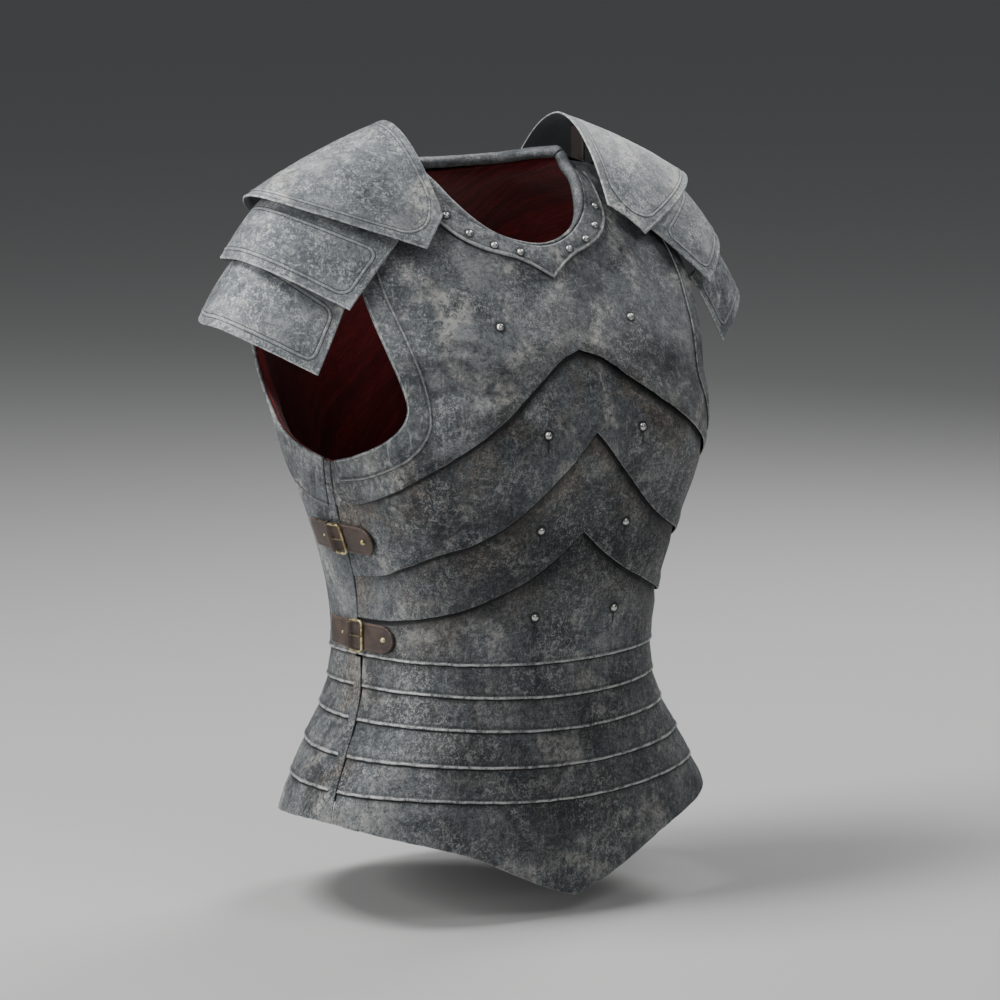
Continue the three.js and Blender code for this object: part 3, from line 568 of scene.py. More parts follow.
def steel(name, light=1.0, rivets=(), wear=1.0, lined=False):
    """Old plate: granular blue-grey, pale clouds, dark blotches, brown stains, painted shade under
    plate edges, at seams, in grooves and under the bust, and pale edges that are partly wear and
    partly painted highlight.
    """
    look = Look(name)
    where = look.place()
    aside = look.node("Mapping", {"Vector": where, "Location": (3.1, 7.7, 5.3)}).outputs[0]
    big = look.noise(where, 14, 3, 0.55, 0.5)
    clouds = look.noise(where, 30, 9, 0.68, 0.5)
    crust = look.noise(where, 210, 7, 0.82, 0.7)
    grit = look.noise(where, 620, 3, 0.75)
    streak = look.noise(look.place((1, 1, 0.16)), 260, 5, 0.65, 0.4)
    brushed = look.noise(look.place((0.3, 0.3, 1)), 330, 4, 0.65, 0.3)
    tone = look.blend(clouds, 0.55, big)
    grains = look.blend(crust, 0.6, grit)
    dark, mid, pale = (0.044, 0.051, 0.058), (0.114, 0.126, 0.136), (0.245, 0.256, 0.260)
    look.color = look.mix(look.fit(tone, 0.38, 0.50), look.mix(1 - wear, dark, mid), mid)
    look.paint(pale, look.fit(tone, 0.49, 0.63))

    # Pale flecks and dark pits, in patches
    patch = look.spots(aside, (20, 7, 0.66, 0.6), 0.42, 0.60)
    look.paint((0.46, 0.465, 0.45), look.fit(grains, 0.49, 0.575),
               look.fit(patch, 0, 1, 0.28, 0.92), 0.78)
    look.paint((0.014, 0.018, 0.022), look.fit(grains, 0.485, 0.40),
               look.fit(patch, 0, 1, 0.95, 0.35), 0.75 * wear)
    scuffs = look.times(look.spots(aside, (15, 5, 0.6, 0.9), 0.53, 0.64),
                        look.spots(aside, (150, 7, 0.82, 0.6), 0.42, 0.58))
    look.paint((0.56, 0.545, 0.50), scuffs, 0.65)
    # Dark blotches, then fine scratches
    look.paint((0.018, 0.022, 0.027), look.spots(where, (10, 5, 0.6, 1.0), 0.50, 0.38),
               look.spots(aside, (90, 6, 0.75, 0.6), 0.40, 0.55, 0.45, 1.0), 0.62 * wear)
    scratches = look.math("ADD", look.fit(streak, 0.56, 0.68), look.fit(brushed, 0.58, 0.70),
                          clamp=True)
    look.paint((0.48, 0.48, 0.47), scratches, 0.32)
    if lined:
        # A dark line along the groove beside the raised border, and a painted highlight along the
        # border's crest
        away = look.math("ABSOLUTE", look.mark("line"))
        groove = look.fit(look.math("ABSOLUTE", look.math("SUBTRACT", away, 1.7)), 0.7, 0.1)
        look.paint((0.035, 0.038, 0.042), groove, 0.8)
        look.paint((0.50, 0.51, 0.51), look.fit(away, 1.5, 0.5), 0.14)

    brown = look.times(look.mark("brown"), look.spots(where, (24, 6, 0.65, 0.5), 0.40, 0.60))
    look.paint(look.mix(look.fit(grains, 0.42, 0.60), (0.042, 0.033, 0.027),
                        (0.250, 0.205, 0.160)), brown, 0.72)
    # Painted shade under the bust and over the front of the skirt
    look.paint((0.020, 0.023, 0.027), look.mark("patina"),
               look.fit(grains, 0.60, 0.42, 0.35, 1.0))
    # Painted shade: near-black under the edge of the plate above, along seams and in grooves
    look.paint((0.012, 0.012, 0.013), look.mark("lap"),
               look.fit(clouds, 0.25, 0.55, 0.8, 1.0), 0.9)
    if rivets:
        part = look.node("SeparateXYZ", {0: where}).outputs
        either_side = look.node("CombineXYZ", {"X": look.math("ABSOLUTE", part[0]),
                                               "Y": part[1], "Z": part[2]}).outputs[0]
    for x, y, z in rivets:
        away = look.vector("DISTANCE", either_side, (x, y, z))
        look.paint((0.014, 0.014, 0.015), look.fit(away, *RING, 0, 0.85))
        below = look.vector("SUBTRACT", either_side, (x, y, z - RUN_DROP))
        slim = look.vector("MULTIPLY", below, tuple(1 / half for half in RUN_HALF))
        look.paint((0.018, 0.019, 0.021), look.fit(look.vector("LENGTH", slim), 1.5, 0.5, 0, 0.75))

    # Pale edges: wear, and along the breast's chevron edges a painted highlight
    edge_wear_and_highlight = look.times(look.fit(look.mark("edge"), 1.4, 0.3), look.fit(crust, 0.38, 0.56))
    edge_wear_and_highlight = look.times(edge_wear_and_highlight, look.fit(look.mark("inside"), 0.4, 0.6, 0.8, 0.2))
    look.paint((0.56, 0.57, 0.57), edge_wear_and_highlight, 0.75)
    bead = look.times(look.mark("bead"), look.spots(where, (130, 6, 0.8), 0.40, 0.56, 0.12, 1.0))
    look.paint((0.60, 0.61, 0.60), bead, 0.9)
    look.paint((0.085, 0.090, 0.095) if lined else (0.028, 0.028, 0.030), look.mark("inside"))
    # Scale the whole colour: the pauldron copy is painted lighter here, as painted light
    look.light(light)
    shine = look.math("MAXIMUM", edge_wear_and_highlight, bead)
    look.set(Metallic=look.fit(look.math("ADD", scuffs, brown), 0.0, 1.0, 0.50, 0.15),
             Roughness=look.math("SUBTRACT", look.fit(tone, 0.38, 0.62, 0.46, 0.66),
                                 look.times(shine, 0.12)), Specular_IOR_Level=0.4)
    layers = [(clouds, 0.5, 0.0020), (crust, 1.0, 0.0011), (grit, 0.6, 0.0003),
              (streak, 0.4, 0.0005)]
    if lined:
        layers.append((look.math("SUBTRACT", 1.0, groove), 0.8, 0.0004))
    look.bump(layers)
    return look.material, "plate_steel"


def bare_metal(name, cloud, dark, pale, rough, grit, tarnish=None):
    look = Look(name)
    where = look.place()
    cloud = look.noise(where, *cloud)
    look.color = look.mix(look.fit(cloud, *((0.38, 0.62) if tarnish else (0.35, 0.65))), dark, pale)
    if tarnish:
        # Tarnish in spots, and over the buckle's tongue by the mark that carries painted shade on
        # the plates
        spots = look.spots(where, (75, 4, 0.6), 0.5, 0.7)
        look.paint(tarnish, look.math("MAXIMUM", spots, look.mark("lap")), 0.7)
    look.set(Metallic=0.9, Roughness=look.fit(cloud, 0.3, 0.7, *rough))
    look.bump([(look.noise(where, grit[0], 3, 0.6), grit[1], 0.0003)])
    return look.material, name


def leather(name, light):
    look = Look(name)
    where = look.place()
    cells = look.node("TexVoronoi", {"Vector": where, "Scale": 900.0},
                      feature="DISTANCE_TO_EDGE").outputs[0]
    cloud = look.noise(where, 60, 5, 0.6, 0.6)
    fine = look.noise(where, 700, 3, 0.6)
    look.color = look.mix(look.fit(cloud, 0.35, 0.65), (0.030, 0.019, 0.014),
                          (0.075, 0.047, 0.036))
    # Worn edges, then creases
    look.paint((0.17, 0.115, 0.085), look.fit(look.mark("edge"), 1.8, 0.4),
               look.spots(where, (240, 4, 0.7), 0.35, 0.6), 0.7)
    look.paint((0.13, 0.088, 0.066), look.spots(where, (130, 5, 0.7, 1.5), 0.60, 0.72), 0.5)
    # Scale the whole colour: the shoulder copy is painted darker here, as painted shade
    look.light(light)
    look.set(Roughness=look.fit(cloud, 0.3, 0.7, 0.42, 0.6), Specular_IOR_Level=0.5)
    look.bump([(look.fit(cells, 0.0, 0.06), 0.35, 0.0003), (fine, 0.4, 0.0002),
               (cloud, 0.3, 0.0006)])
    return look.material, "strap_leather"


def cloth():
    look = Look("lining_cloth")
    where = look.place()
    grain = look.mark("grain", vector=True)
    ribs = look.node("TexWave", {"Vector": grain, "Scale": 260.0, "Distortion": 2.2,
                                 "Detail": 3.0, "Detail Scale": 2.0},
                     bands_direction="X").outputs[1]
    upright = look.node("Mapping", {"Vector": grain, "Scale": (1, 0.08, 1)}).outputs[0]
    threads = look.noise(upright, 900, 5, 0.65)
    folds = look.noise(upright, 60, 4, 0.55, 0.3)
    look.color = look.mix(look.fit(threads, 0.3, 0.7), (0.085, 0.006, 0.008),
                          (0.300, 0.022, 0.026))
    # Painted shade in the hollows of the folds, where the fold bump is low
    look.paint((0.050, 0.004, 0.005), look.fit(folds, 0.62, 0.34, 0, 0.6))
    look.paint((0.040, 0.005, 0.006), look.spots(where, (16, 4, 0.6, 0.5), 0.5, 0.72, 0, 0.5))
    look.set(Roughness=0.9, Specular_IOR_Level=0.2, Sheen_Weight=0.25, Sheen_Roughness=0.5)
    look.bump([(folds, 0.5, 0.002), (threads, 0.55, 0.0006), (ribs, 0.35, 0.0005)])
    return look.material, "lining_cloth"


def folded(places):
    """Points of rivets in metres, with x counted from the centre line either way."""
    return [(abs(x) * MM, y * MM, z * MM) for x, y, z in places]


RIVET_ANGLES, RIVET_LEVELS = skin_under(*np.array(COLLAR_RIVETS).T)

# Each look is a material and its slot
STEEL = steel("plate_steel")
BREAST_STEEL = steel("breast_steel", rivets=folded(skin(a, z) for a, z in CHEST_RIVETS))
COLLAR_STEEL = steel("collar_steel", light=1.1, rivets=folded(skin(RIVET_ANGLES, RIVET_LEVELS)))
# A copy of the plate steel painted 1.55 times lighter: painted light on the pauldrons
LIT_PAULDRON_STEEL = steel("pauldron_steel", light=1.55, wear=0.7, lined=True)
RIVET_STEEL = bare_metal("rivet_steel", (420, 4, 0.6), (0.44, 0.44, 0.43), (0.72, 0.72, 0.70),
                         (0.22, 0.4), (900, 0.3))
BRASS = bare_metal("buckle_brass", (190, 5, 0.65, 0.4), (0.26, 0.20, 0.09), (0.72, 0.62, 0.36),
                   (0.28, 0.46), (800, 0.35), tarnish=(0.06, 0.045, 0.025))
LEATHER_BROWN = leather("strap_leather", 0.95)
# A copy of the strap leather painted darker: painted shade on the leather under the pauldron
SHADED_LEATHER = leather("shoulder_leather", 0.35)
CLOTH_RED = cloth()

# ---- breast, back and skirt


def stretched(places, length):
    """Places spread over a typical length, fitted to each column's own length."""
    typical, near = places[-1], NEAR_EDGE[-1]
    places = places[:, None]
    length = np.asarray(length)[None, :]
    share = (places - near) / (typical - 2 * near)
    inner = near + share * (length - 2 * near)
    from_end = length - (typical - places)
    return np.where(places <= near, places, np.where(places >= typical - near, from_end, inner))


def skirt_edge(front, side, back):
    """A level for any angle, from those in front, at the side and behind."""
    def level(angle):
        c = np.cos(np.radians(angle))
        return mix(side, np.where(c > 0, front, back), np.where(c > 0, c ** 4, c * c))
    return level


# Edges of the skirt's lames from the waist to the hem
SKIRT = [skirt_edge(*levels) for levels in SKIRT_EDGES] + [HEM]


def free_edge(angle, z, lower, side, fade, beaded):
    """What a plate's free lower edge makes of its grid: nicked levels, the height above the
    edge, a share that is 1 at the edge, the thickness, the bead's relief and its marks."""
    above = z - lower(angle)
    z = z + nicks(skin(angle, z)) * fall(above, 0, 6) * (1 - fade)
    free = fall(above, *EDGE_ZONE)
    thick = mix(PLATE, THIN_EDGE if beaded else mix(PLATE, FADED_PLATE, fade), free)
    bead = beaded * np.sqrt(np.clip(1 - ((above - BEAD_HALF) / BEAD_HALF) ** 2, 0, 1))
    at_sides = smooth(side * MM_PER_DEGREE, 0.5, 3.0)
    # The edge mark paints the free edge pale: wear at the hem, a painted highlight along the
    # breast's chevron edges
    marks = {"bead": bead * (0.4 + 0.6 * at_sides), "edge": above + 0.35 + FAR * (beaded + fade)}
    return z, above, free, thick, BEAD_RISE * bead * at_sides, marks


def seam_shade(side):
    """1 at a plate's side edge, side being the degrees to it."""
    return fall(side * MM_PER_DEGREE, 0.3, 2.2)


def lapped(upper, lower, limit, centre=0, skirt=False, fading=False, step=3.8, brown=0.0):
    """A plate tucked under the one above it. Its lower edge is free, beaded where it borders
    the skirt, or fades into the next plate at the sides."""
    a = centre - limit + spread(2 * limit, step / MM_PER_DEGREE, NEAR_EDGE / MM_PER_DEGREE)
    top, bottom = upper(a) + LAP, lower(a)
    length = top - bottom
    places = stretched(spread(max(float(np.median(length)), 20), step), length)
    near_lap = np.arange(LAP - 4, LAP + 6, 0.8)[:, None] + 0 * length[None]
    z = top[None] - np.sort(np.concatenate([places, near_lap]), axis=0)
    angle = np.broadcast_to(a, z.shape)
    under = upper(angle) - z
    side = limit - np.abs(angle - centre)
    fade = fall(side, *FADE_ZONE) if fading else np.zeros_like(side)
    beaded = lower is not HEM and not fading
    z, above, free, thick, rise, marks = free_edge(angle, z, lower, side, fade, beaded)
    tucked = mix(mix(TUCKED, -0.5, fade), SKIRT_TUCKED, skirt)
    proud = mix(mix(PROUD, FADED_PROUD, fade), SKIRT_PROUD, skirt or lower is SKIRT[0])
    lift = tucked * fall(under, 0.5, 13) + proud * free
    base, out = on_skin(angle, z)
    worn = np.clip(0.75 + 0.35 * noise(base, 13, 8), 0.4, 1.1)

    # Painted shade below the edge of the plate above, darkest right under it, along the side seam
    # and just above the bead
    reach = mix(17.0, 4.5, skirt)
    shade = 0.85 * fall(under + 2.0 * noise(base, 14, 9), -1.0, reach)
    shade = np.maximum(shade, 1.1 * fall(under, reach / 6, reach / 2.6))
    shade = np.maximum(shade * (1 - 0.75 * fade) * 0.95, mix(0.75, 0.1, skirt) * seam_shade(side))
    marks["lap"] = np.clip(np.maximum(shade, beaded * 0.5 * ridge(above - 3.4, 0.9)), 0, 1)
    marks["brown"] = np.clip(brown * fall(under, 10, 62) + fall(side, 2, 9) * skirt * 0.55, 0, 1)
    # Painted shade under the bust, and over the front lames of the skirt
    under_bust_shade = BUST_SHADE * ridge(z - BUST_SHADE_LEVEL, 46) * smooth(side, 10, 45)
    marks["patina"] = mix(under_bust_shade, 0.3 * (centre == 0), skirt)
    return shell(base, out, thick, lift + dents(base) + rise * worn, marks)


def top_edge(foot, behind, limit, setback):
    """Where the columns of a main plate start: along the neck, the shoulder and the armhole."""
    shoulder = BACK_SHOULDER if behind else FRONT_SHOULDER
    reach = 180 - NECK_JOINT - 7 if behind else NECK_JOINT - 3
    turn = np.minimum(foot / NECK_END, 1) * reach
    around = 180 - turn if behind else turn
    gap = RIM["gap" if setback else "plate_gap"] + setback
    x, y = neck_plan(around, rim_radius(around) + gap)
    neck_angle, neck_z = skin_under(x, y)
    start = 180 - neck_angle if behind else neck_angle
    f = np.maximum(foot - NECK_END, 0) / (SHOULDER_END - NECK_END)
    on_neck = mix(start, ARMHOLE[0, 0], f), mix(neck_z, shoulder, np.minimum(3 * f, 1))
    last = ARMHOLE[-1].copy()
    last[0], last[1] = limit, ARMHOLE_BOTTOM
    edge = np.vstack([ARMHOLE, last])
    to_corner = (foot - SHOULDER_END) / (CORNER_END - SHOULDER_END)
    past_corner = (foot - CORNER_END) / (limit - CORNER_END)
    v = np.where(foot < CORNER_END, ARMHOLE_CORNER * to_corner,
                 mix(ARMHOLE_CORNER, len(ARMHOLE), past_corner))
    out, z = np.moveaxis(rows_at(edge, v)[..., :2], -1, 0)
    early = foot < SHOULDER_END
    return np.where(early, on_neck[0], out), np.where(early, on_neck[1], np.minimum(z, shoulder))


def fan_grid(behind, limit, setback, foot_level, step=3.7, top_limit=np.inf):
    """Angles and levels of a main plate or of half of the lining, in rows and columns."""
    centre = 180 if behind else 0
    # Angles at the foot where a stretch of the upper edge starts and ends, and its length
    stretches = [(0, NECK_END, 118), (NECK_END, SHOULDER_END, 42),
                 (SHOULDER_END, CORNER_END, 205), (CORNER_END, limit, 120)]
    half = np.concatenate([np.linspace(a, b, int(size / step) + 1)[1:]
                           for a, b, size in stretches])
    fine_end = limit - NEAR_EDGE[::-1] / MM_PER_DEGREE
    half = np.concatenate([half[half < fine_end[0] - 0.3], fine_end])
    foot = np.concatenate([-half[::-1], [0.0], half])
    side = np.sign(foot)
    start, level = top_edge(np.abs(foot), behind, limit, setback)
    level = np.minimum(level, top_limit)
    low = foot_level(foot + centre)
    f = np.linspace(0, 1, 260)[:, None] ** 1.5
    power = np.where(np.abs(foot) > NECK_END, 3, 2)

    def path(f):
        return centre + side * mix(start, np.abs(foot), 1 - (1 - f) ** power), mix(level, low, f)
    ways = arc(skin(*path(f)), 0)
    places = stretched(spread(float(np.median(ways[-1])), step), ways[-1])
    share = np.stack([np.interp(places[:, i], ways[:, i], f[:, 0]) for i in range(len(foot))], 1)
    return path(share)


def yoke(behind, limit, lower):
    """The main plate of the breast or the back, from the neck to its free lower edge."""
    angle, z = fan_grid(behind, limit, 0, lower)
    side = limit - np.abs(angle - 180 * behind)
    fade = (1 - behind) * fall(side, *FADE_ZONE)
    z, above, free, thick, rise, marks = free_edge(angle, z, lower, side, fade, behind)
    base, out = on_skin(angle, z)
    proud = SKIRT_PROUD if behind else mix(PROUD, FADED_PROUD, fade)
    # Painted shade along the side seam below the armhole
    marks["lap"] = 0.75 * seam_shade(side) * (z < ARMHOLE_BOTTOM + 6)
    marks["brown"] = 0.35 * fall(above, 5, 50)
    return shell(base, out, thick, proud * free + dents(base) + rise, marks)


def seam_strip():
    """The flat strip over the skirt's side seam."""
    angle = SEAM - STRIP_HALF + spread(2 * STRIP_HALF, 1.2 / MM_PER_DEGREE,
                                       NEAR_EDGE[:6] / MM_PER_DEGREE)
    top = SKIRT[0](SEAM) - 1.5
    length = top - HEM(angle)
    z = top - stretched(spread(float(np.mean(length)), 2.2), length)
    angle = np.broadcast_to(angle, z.shape)
    base, out = on_skin(angle, z)
    side = (STRIP_HALF - np.abs(angle - SEAM)) * MM_PER_DEGREE
    # Painted shade along the strip's borders
    return shell(base, out, PLATE, STRIP_LIFT + dents(base), {
        "lap": 0.3 * fall(side, 0.1, 1.0), "edge": np.full_like(z, FAR),
        "brown": np.full_like(z, 0.75)})


BREAST_LIMIT, BACK_LIMIT = SEAM - SEAM_GAP, 180 - SEAM - SEAM_GAP
make_object("breast_main_plate", yoke(False, BREAST_LIMIT, CHEVRONS[0]), BREAST_STEEL,
            "breast_upper")
make_object("back_main_plate", yoke(True, BACK_LIMIT, SKIRT[0]), STEEL, "back_plate")
for name, edges, node, options in (
        ("breast_second_lame", CHEVRONS[:2], "breast_lame_1", dict(fading=True, brown=0.9)),
        ("breast_third_lame", CHEVRONS[1:], "breast_lame_2", dict(fading=True, brown=0.9)),
        ("waist_lame", (CHEVRONS[2], SKIRT[0]), "waist_plate", dict(brown=0.6))):
    make_object(name, lapped(*edges, BREAST_LIMIT, step=2.6, **options), BREAST_STEEL, node)
for i in range(5):
    for name, limit, centre in (("front", SEAM - STRIP_HALF - STRIP_GAP, 0),
                                ("back", 180 - SEAM - STRIP_HALF - STRIP_GAP, 180)):
        part = lapped(SKIRT[i], SKIRT[i + 1], limit, centre, skirt=True, brown=0.25)
        make_object(f"skirt_lame_{name}_{i + 1}", part, STEEL, f"skirt_{name}_{i + 1}")
make_pair("seam_strip", seam_strip(), STEEL, "skirt_strip")

# ---- lining


def lining(behind, limit):
    """Half of the cloth inside the plates, its edges turned out to the rims."""
    angle, z = fan_grid(behind, limit, LINING_SETBACK, lambda a: np.full(np.shape(a), LINING_FOOT),
                        step=7.0, top_limit=np.inf if behind else LINING_TOP)
    base, out = on_skin(angle, z)
    turned_out = fall(arc(base, 0), 0, LINING_TURN)
    base = base + out * mix(LINING_LIFT, LINING_EDGE_LIFT, turned_out)[..., None]
    folds = 0.9 * noise(base * [1, 1, 0.14], 15, 11) + 0.5 * noise(base * [1, 1, 0.3], 6.5, 12)
    return shell(base, out, LINING, folds)


make_object("lining_cloth_front", lining(False, BREAST_LIMIT), CLOTH_RED, "lining_front")
make_object("lining_cloth_back", lining(True, BACK_LIMIT), CLOTH_RED, "lining_back")

# ---- armhole bands, collar, neck rim and rivets


def armhole_band(behind):
    """The flat band round an armhole with its rolled edge, on the wearer's left."""
    shoulder = BACK_SHOULDER if behind else FRONT_SHOULDER
    rows = rows_at(ARMHOLE, np.linspace(0, 1, 170) ** 1.3 * (len(ARMHOLE) - 1))
    outer, inner = (rows[:, 4:6] if behind else rows[:, 2:4]), rows[:, 0:2]
    f = spread(BAND_WIDTH, 1.6, NEAR_EDGE[:8]) / BAND_WIDTH
    angle = mix(outer[:, 0, None], inner[:, 0, None], f[None])
    z = np.minimum(mix(outer[:, 1, None], inner[:, 1, None], f[None]), shoulder)
    if behind:
        angle = 180 - angle
    base, out = on_skin(angle, z)
    across = arc(base, 1)
    groove, lip = ridge(across - 2.6, 0.7), ridge(across - 1.2, 0.8)
    # Painted shade in the groove beside the lip
    band = shell(base, out, BAND_SHEET, BAND_FACE + dents(base) + 0.35 * (lip - groove), {
        "lap": 0.85 * ridge(across - 2.6, 0.8), "bead": 0.15 * lip})
    path, out = on_skin(angle[:, -1], z[:, -1])
    path = path + out * (dents(path) - 0.2)[:, None]
    # The rolled edge darkened a little by the same painted shade mark
    rim = filled(tube(path, BACK_ROLL if behind else FRONT_ROLL, 16), lap=0.1, bead=0.15 * behind)
    return together(band, rim)


for name, behind in (("front", False), ("back", True)):
    make_pair(f"armhole_edge_{name}", armhole_band(behind), STEEL, f"armhole_band_{name}")


def collar():
    """The flat collar with a raised border and a point in front."""
    u = np.linspace(-1, 1, 241)
    turn = COLLAR_END * np.abs(u)
    inner_x, inner_y = neck_plan(turn, rim_radius(turn) * COLLAR_START)
    edge = rows_at(COLLAR_EDGE, (len(COLLAR_EDGE) - 1) * np.abs(u))
    f = spread(COLLAR_WIDTH, 1.1, NEAR_EDGE[:8])[:, None] / COLLAR_WIDTH
    angle, z = skin_under(mix(inner_x, edge[:, 0], f), mix(inner_y, edge[:, 1], f))
    base, out = on_skin(angle * np.sign(u)[None], z)
    down = arc(base, 0)
    to_edge = down[-1:] - down
    border = 0.75 * ridge(to_edge - 1.3, 1.2) - 0.25 * ridge(to_edge - 4.0, 0.7)
    # Painted shade in the groove inside the raised border
    return shell(base, out, COLLAR_SHEET, COLLAR_FACE + 0.6 * dents(base) + border, {
        "lap": 0.55 * ridge(to_edge - 4.0, 0.8), "bead": 0.8 * ridge(to_edge - 1.0, 1.0)})


make_object("collar_plate", collar(), COLLAR_STEEL, "collar_band")
heads = [dome(*on_skin(side * a, z, COLLAR_FACE), COLLAR_HEAD, n + side) for side in (-1, 1)
         for n, (a, z) in enumerate(zip(RIVET_ANGLES, RIVET_LEVELS))]
make_object("collar_rivets", together(*heads), RIVET_STEEL, "collar_band")


def neck_rim(start, end):
    turn = np.linspace(start, end, 150)
    x, y = neck_plan(np.where(turn > 180, turn - 360, turn), 0)
    angle, z = skin_under(np.abs(x), y)
    path, _out = on_skin(angle * np.sign(x + 1e-9), z, -PLATE / 2)
    radius = rim_radius(np.minimum(turn, 360 - turn)) + 0.25 * noise(path, 12, 4)
    return filled(tube(path, radius, 24), bead=0.12)


for name, start, end in (("front", -NECK_JOINT, NECK_JOINT),
                         ("back", NECK_JOINT, 360 - NECK_JOINT)):
    rim = neck_rim(start + NECK_JOINT_GAP, end - NECK_JOINT_GAP)
    make_object(f"neck_roll_{name}", rim, STEEL, f"neck_rim_{name}")

for i, (a, z) in enumerate(CHEST_RIVETS):
    for side, tag in ((1, "l"), (-1, "r")):
        place = on_skin(side * a, z, dents(skin(side * a, z)) + 0.1)
        make_object(f"breast_rivet_{i + 1}_{tag}", dome(*place, CHEST_HEAD, i + side),
                    RIVET_STEEL, f"chest_rivet_{i + 1}_{tag}")

# ---- pauldrons, on the wearer's left


def arch(edge, q):
    """Points of a lame's edge, from q = -1 in front to q = 1 behind."""
    x, z, inset, front, back, middle, half = edge
    drop = np.where(q < 0, front, back)
    return np.stack([x - inset * q * q, middle + half * q, z - drop * np.abs(q) ** ARCH_POWER], -1)


def lame_face(number, q, v):
    """Points of a lame's outer face and the outward directions there."""
    upper, lower = LAME_EDGES[2 * number], LAME_EDGES[2 * number + 1]

    def flat(a, b):
        return mix(arch(upper, a), arch(lower, a), b[..., None])
    along = flat(q + 0.01, v) - flat(q - 0.01, v)
    down = flat(q, v + 0.01) - flat(q, v - 0.01)
    out = unit(np.cross(down, along))
    bulge = LAME_BULGE[number] * 4 * v * (1 - v) * (1 - 0.4 * q * q)
    return flat(q, v) + out * bulge[..., None], out


def evenly(point_at, places):
    """Shares of a curve at places along it, with its ends at 0 and 1."""
    f = np.linspace(0, 1, 240)
    way = arc(point_at(f), 0)
    return np.interp(places / places[-1] * way[-1], way, f)


def length_of(point_at):
    return float(arc(point_at(np.linspace(0, 1, 100)), 0)[-1])


def lame(number):
    """A lame with a raised rounded border and a thickened rim."""
    mould = MOULDING[number]

    def along_it(f):
        return lame_face(number, 2 * f - 1, np.full_like(f, 0.6))[0]

    def down_it(f):
        return lame_face(number, np.full_like(f, -0.35), f)[0]
    q_edge = np.concatenate([NEAR_EDGE[:8], np.arange(4, mould["corner"] + 13, 0.95)])
    v_edge = np.concatenate([NEAR_EDGE[:8], np.arange(4, mould["foot"] + 9, 0.9)])
    q = 2 * evenly(along_it, spread(length_of(along_it), 3.0, q_edge)) - 1
    v = evenly(down_it, spread(length_of(down_it), 1.4 if number else 2.6, v_edge,
                               mark=(mould["top"], 6, 0.9)))
    base, out = lame_face(number, *np.meshgrid(q, v))
    down, along = arc(base, 0), arc(base, 1)
    to_end = np.minimum(along, along[:, -1:] - along)
    edge = np.minimum(np.minimum(down, down[-1:] - down), to_end)
    to_end = to_end - mould["ends"]
    rise = np.minimum(down - mould["top"], down[-1:] - down - mould["foot"])
    r = mould["corner"]
    corner = r - np.hypot(np.maximum(r - rise, 0), np.maximum(r - to_end, 0))
    inside = np.where((rise < r) & (to_end < r), corner, np.minimum(rise, to_end))
    relief = 0.4 * ridge(inside, 1.4, 4) + 0.45 * ridge(edge - 1.2, 1.3) + 1.1 * dents(base)
    return shell(base, out, LAME, relief, {"line": inside})


for i, name in enumerate(("upper", "middle", "lower")):
    make_pair(f"shoulder_lame_{name}", lame(i), LIT_PAULDRON_STEEL, f"pauldron_{name}")


def on_shoulder(x, lift, y):
    angle, z = skin_under(np.full_like(y, x), y)
    return on_skin(angle, z, lift)[0], unit(np.broadcast_to([0.25, 0, 1.0], (len(y), 3)))


def under_lame(number, v, gap, y):
    upper, lower = LAME_EDGES[2 * number], LAME_EDGES[2 * number + 1]
    q = (y - mix(upper[5], lower[5], v)) / mix(upper[6], lower[6], v)
    point, out = lame_face(number, q, np.full_like(q, v))
    return point - out * (LAME + gap), unit(out * [1, 0, 1])


def leather_strip(places, width, count):
    """A strip through places, each of which gives points and outward directions along y."""
    y = CROWN_Y + np.linspace(-width / 2, width / 2, 13)
    grid = [place(y) for place in places]
    v = np.linspace(0, len(grid) - 1, count)

    def curved(k):
        rows = np.stack([row[k] for row in grid]).reshape(len(grid), -1)
        return rows_at(rows, v).reshape(count, len(y), 3)
    base, out = curved(0), unit(curved(1))
    base[..., 1] = y
    return shell(base, out, LEATHER, 0.15 * noise(base, 8, 21))


carrier = leather_strip([
    lambda y: on_shoulder(124, OVER_BANDS, y), lambda y: on_shoulder(158, OVER_BANDS, y),
    lambda y: under_lame(1, 0.1, 5, y), lambda y: under_lame(1, 0.5, 8, y),
    lambda y: under_lame(2, 0.08, 3.2, y), lambda y: under_lame(2, 0.6, 1.2, y)],
    CARRIER_WIDTH, 40)


def tab_place(place):
    """The place moved into the upright plane of the tab."""
    def upright(y):
        point = place(y)[0].copy()
        point[:, 0] = TAB_X
        return point, np.broadcast_to([1.0, 0, 0], point.shape)
    return upright


tab = leather_strip([tab_place(lambda y: under_lame(0, 0.16, 2.5, y)),
                     tab_place(lambda y: on_shoulder(TAB_X, 1, y))], TAB_WIDTH, 14)
make_pair("shoulder_leather", carrier, SHADED_LEATHER, "pauldron_leather")
make_pair("shoulder_tab", tab, SHADED_LEATHER, "pauldron_tab")

# ---- side straps and buckles


def side_angle(y, z):
    """The angle on the wearer's left at which the body surface has a given depth."""
    low, high = np.full(np.shape(y), 30.0), np.full(np.shape(y), 150.0)
    for _ in range(30):
        middle = (low + high) / 2
        less = skin(middle, z)[..., 1] < y
        low, high = np.where(less, middle, low), np.where(less, high, middle)
    return low


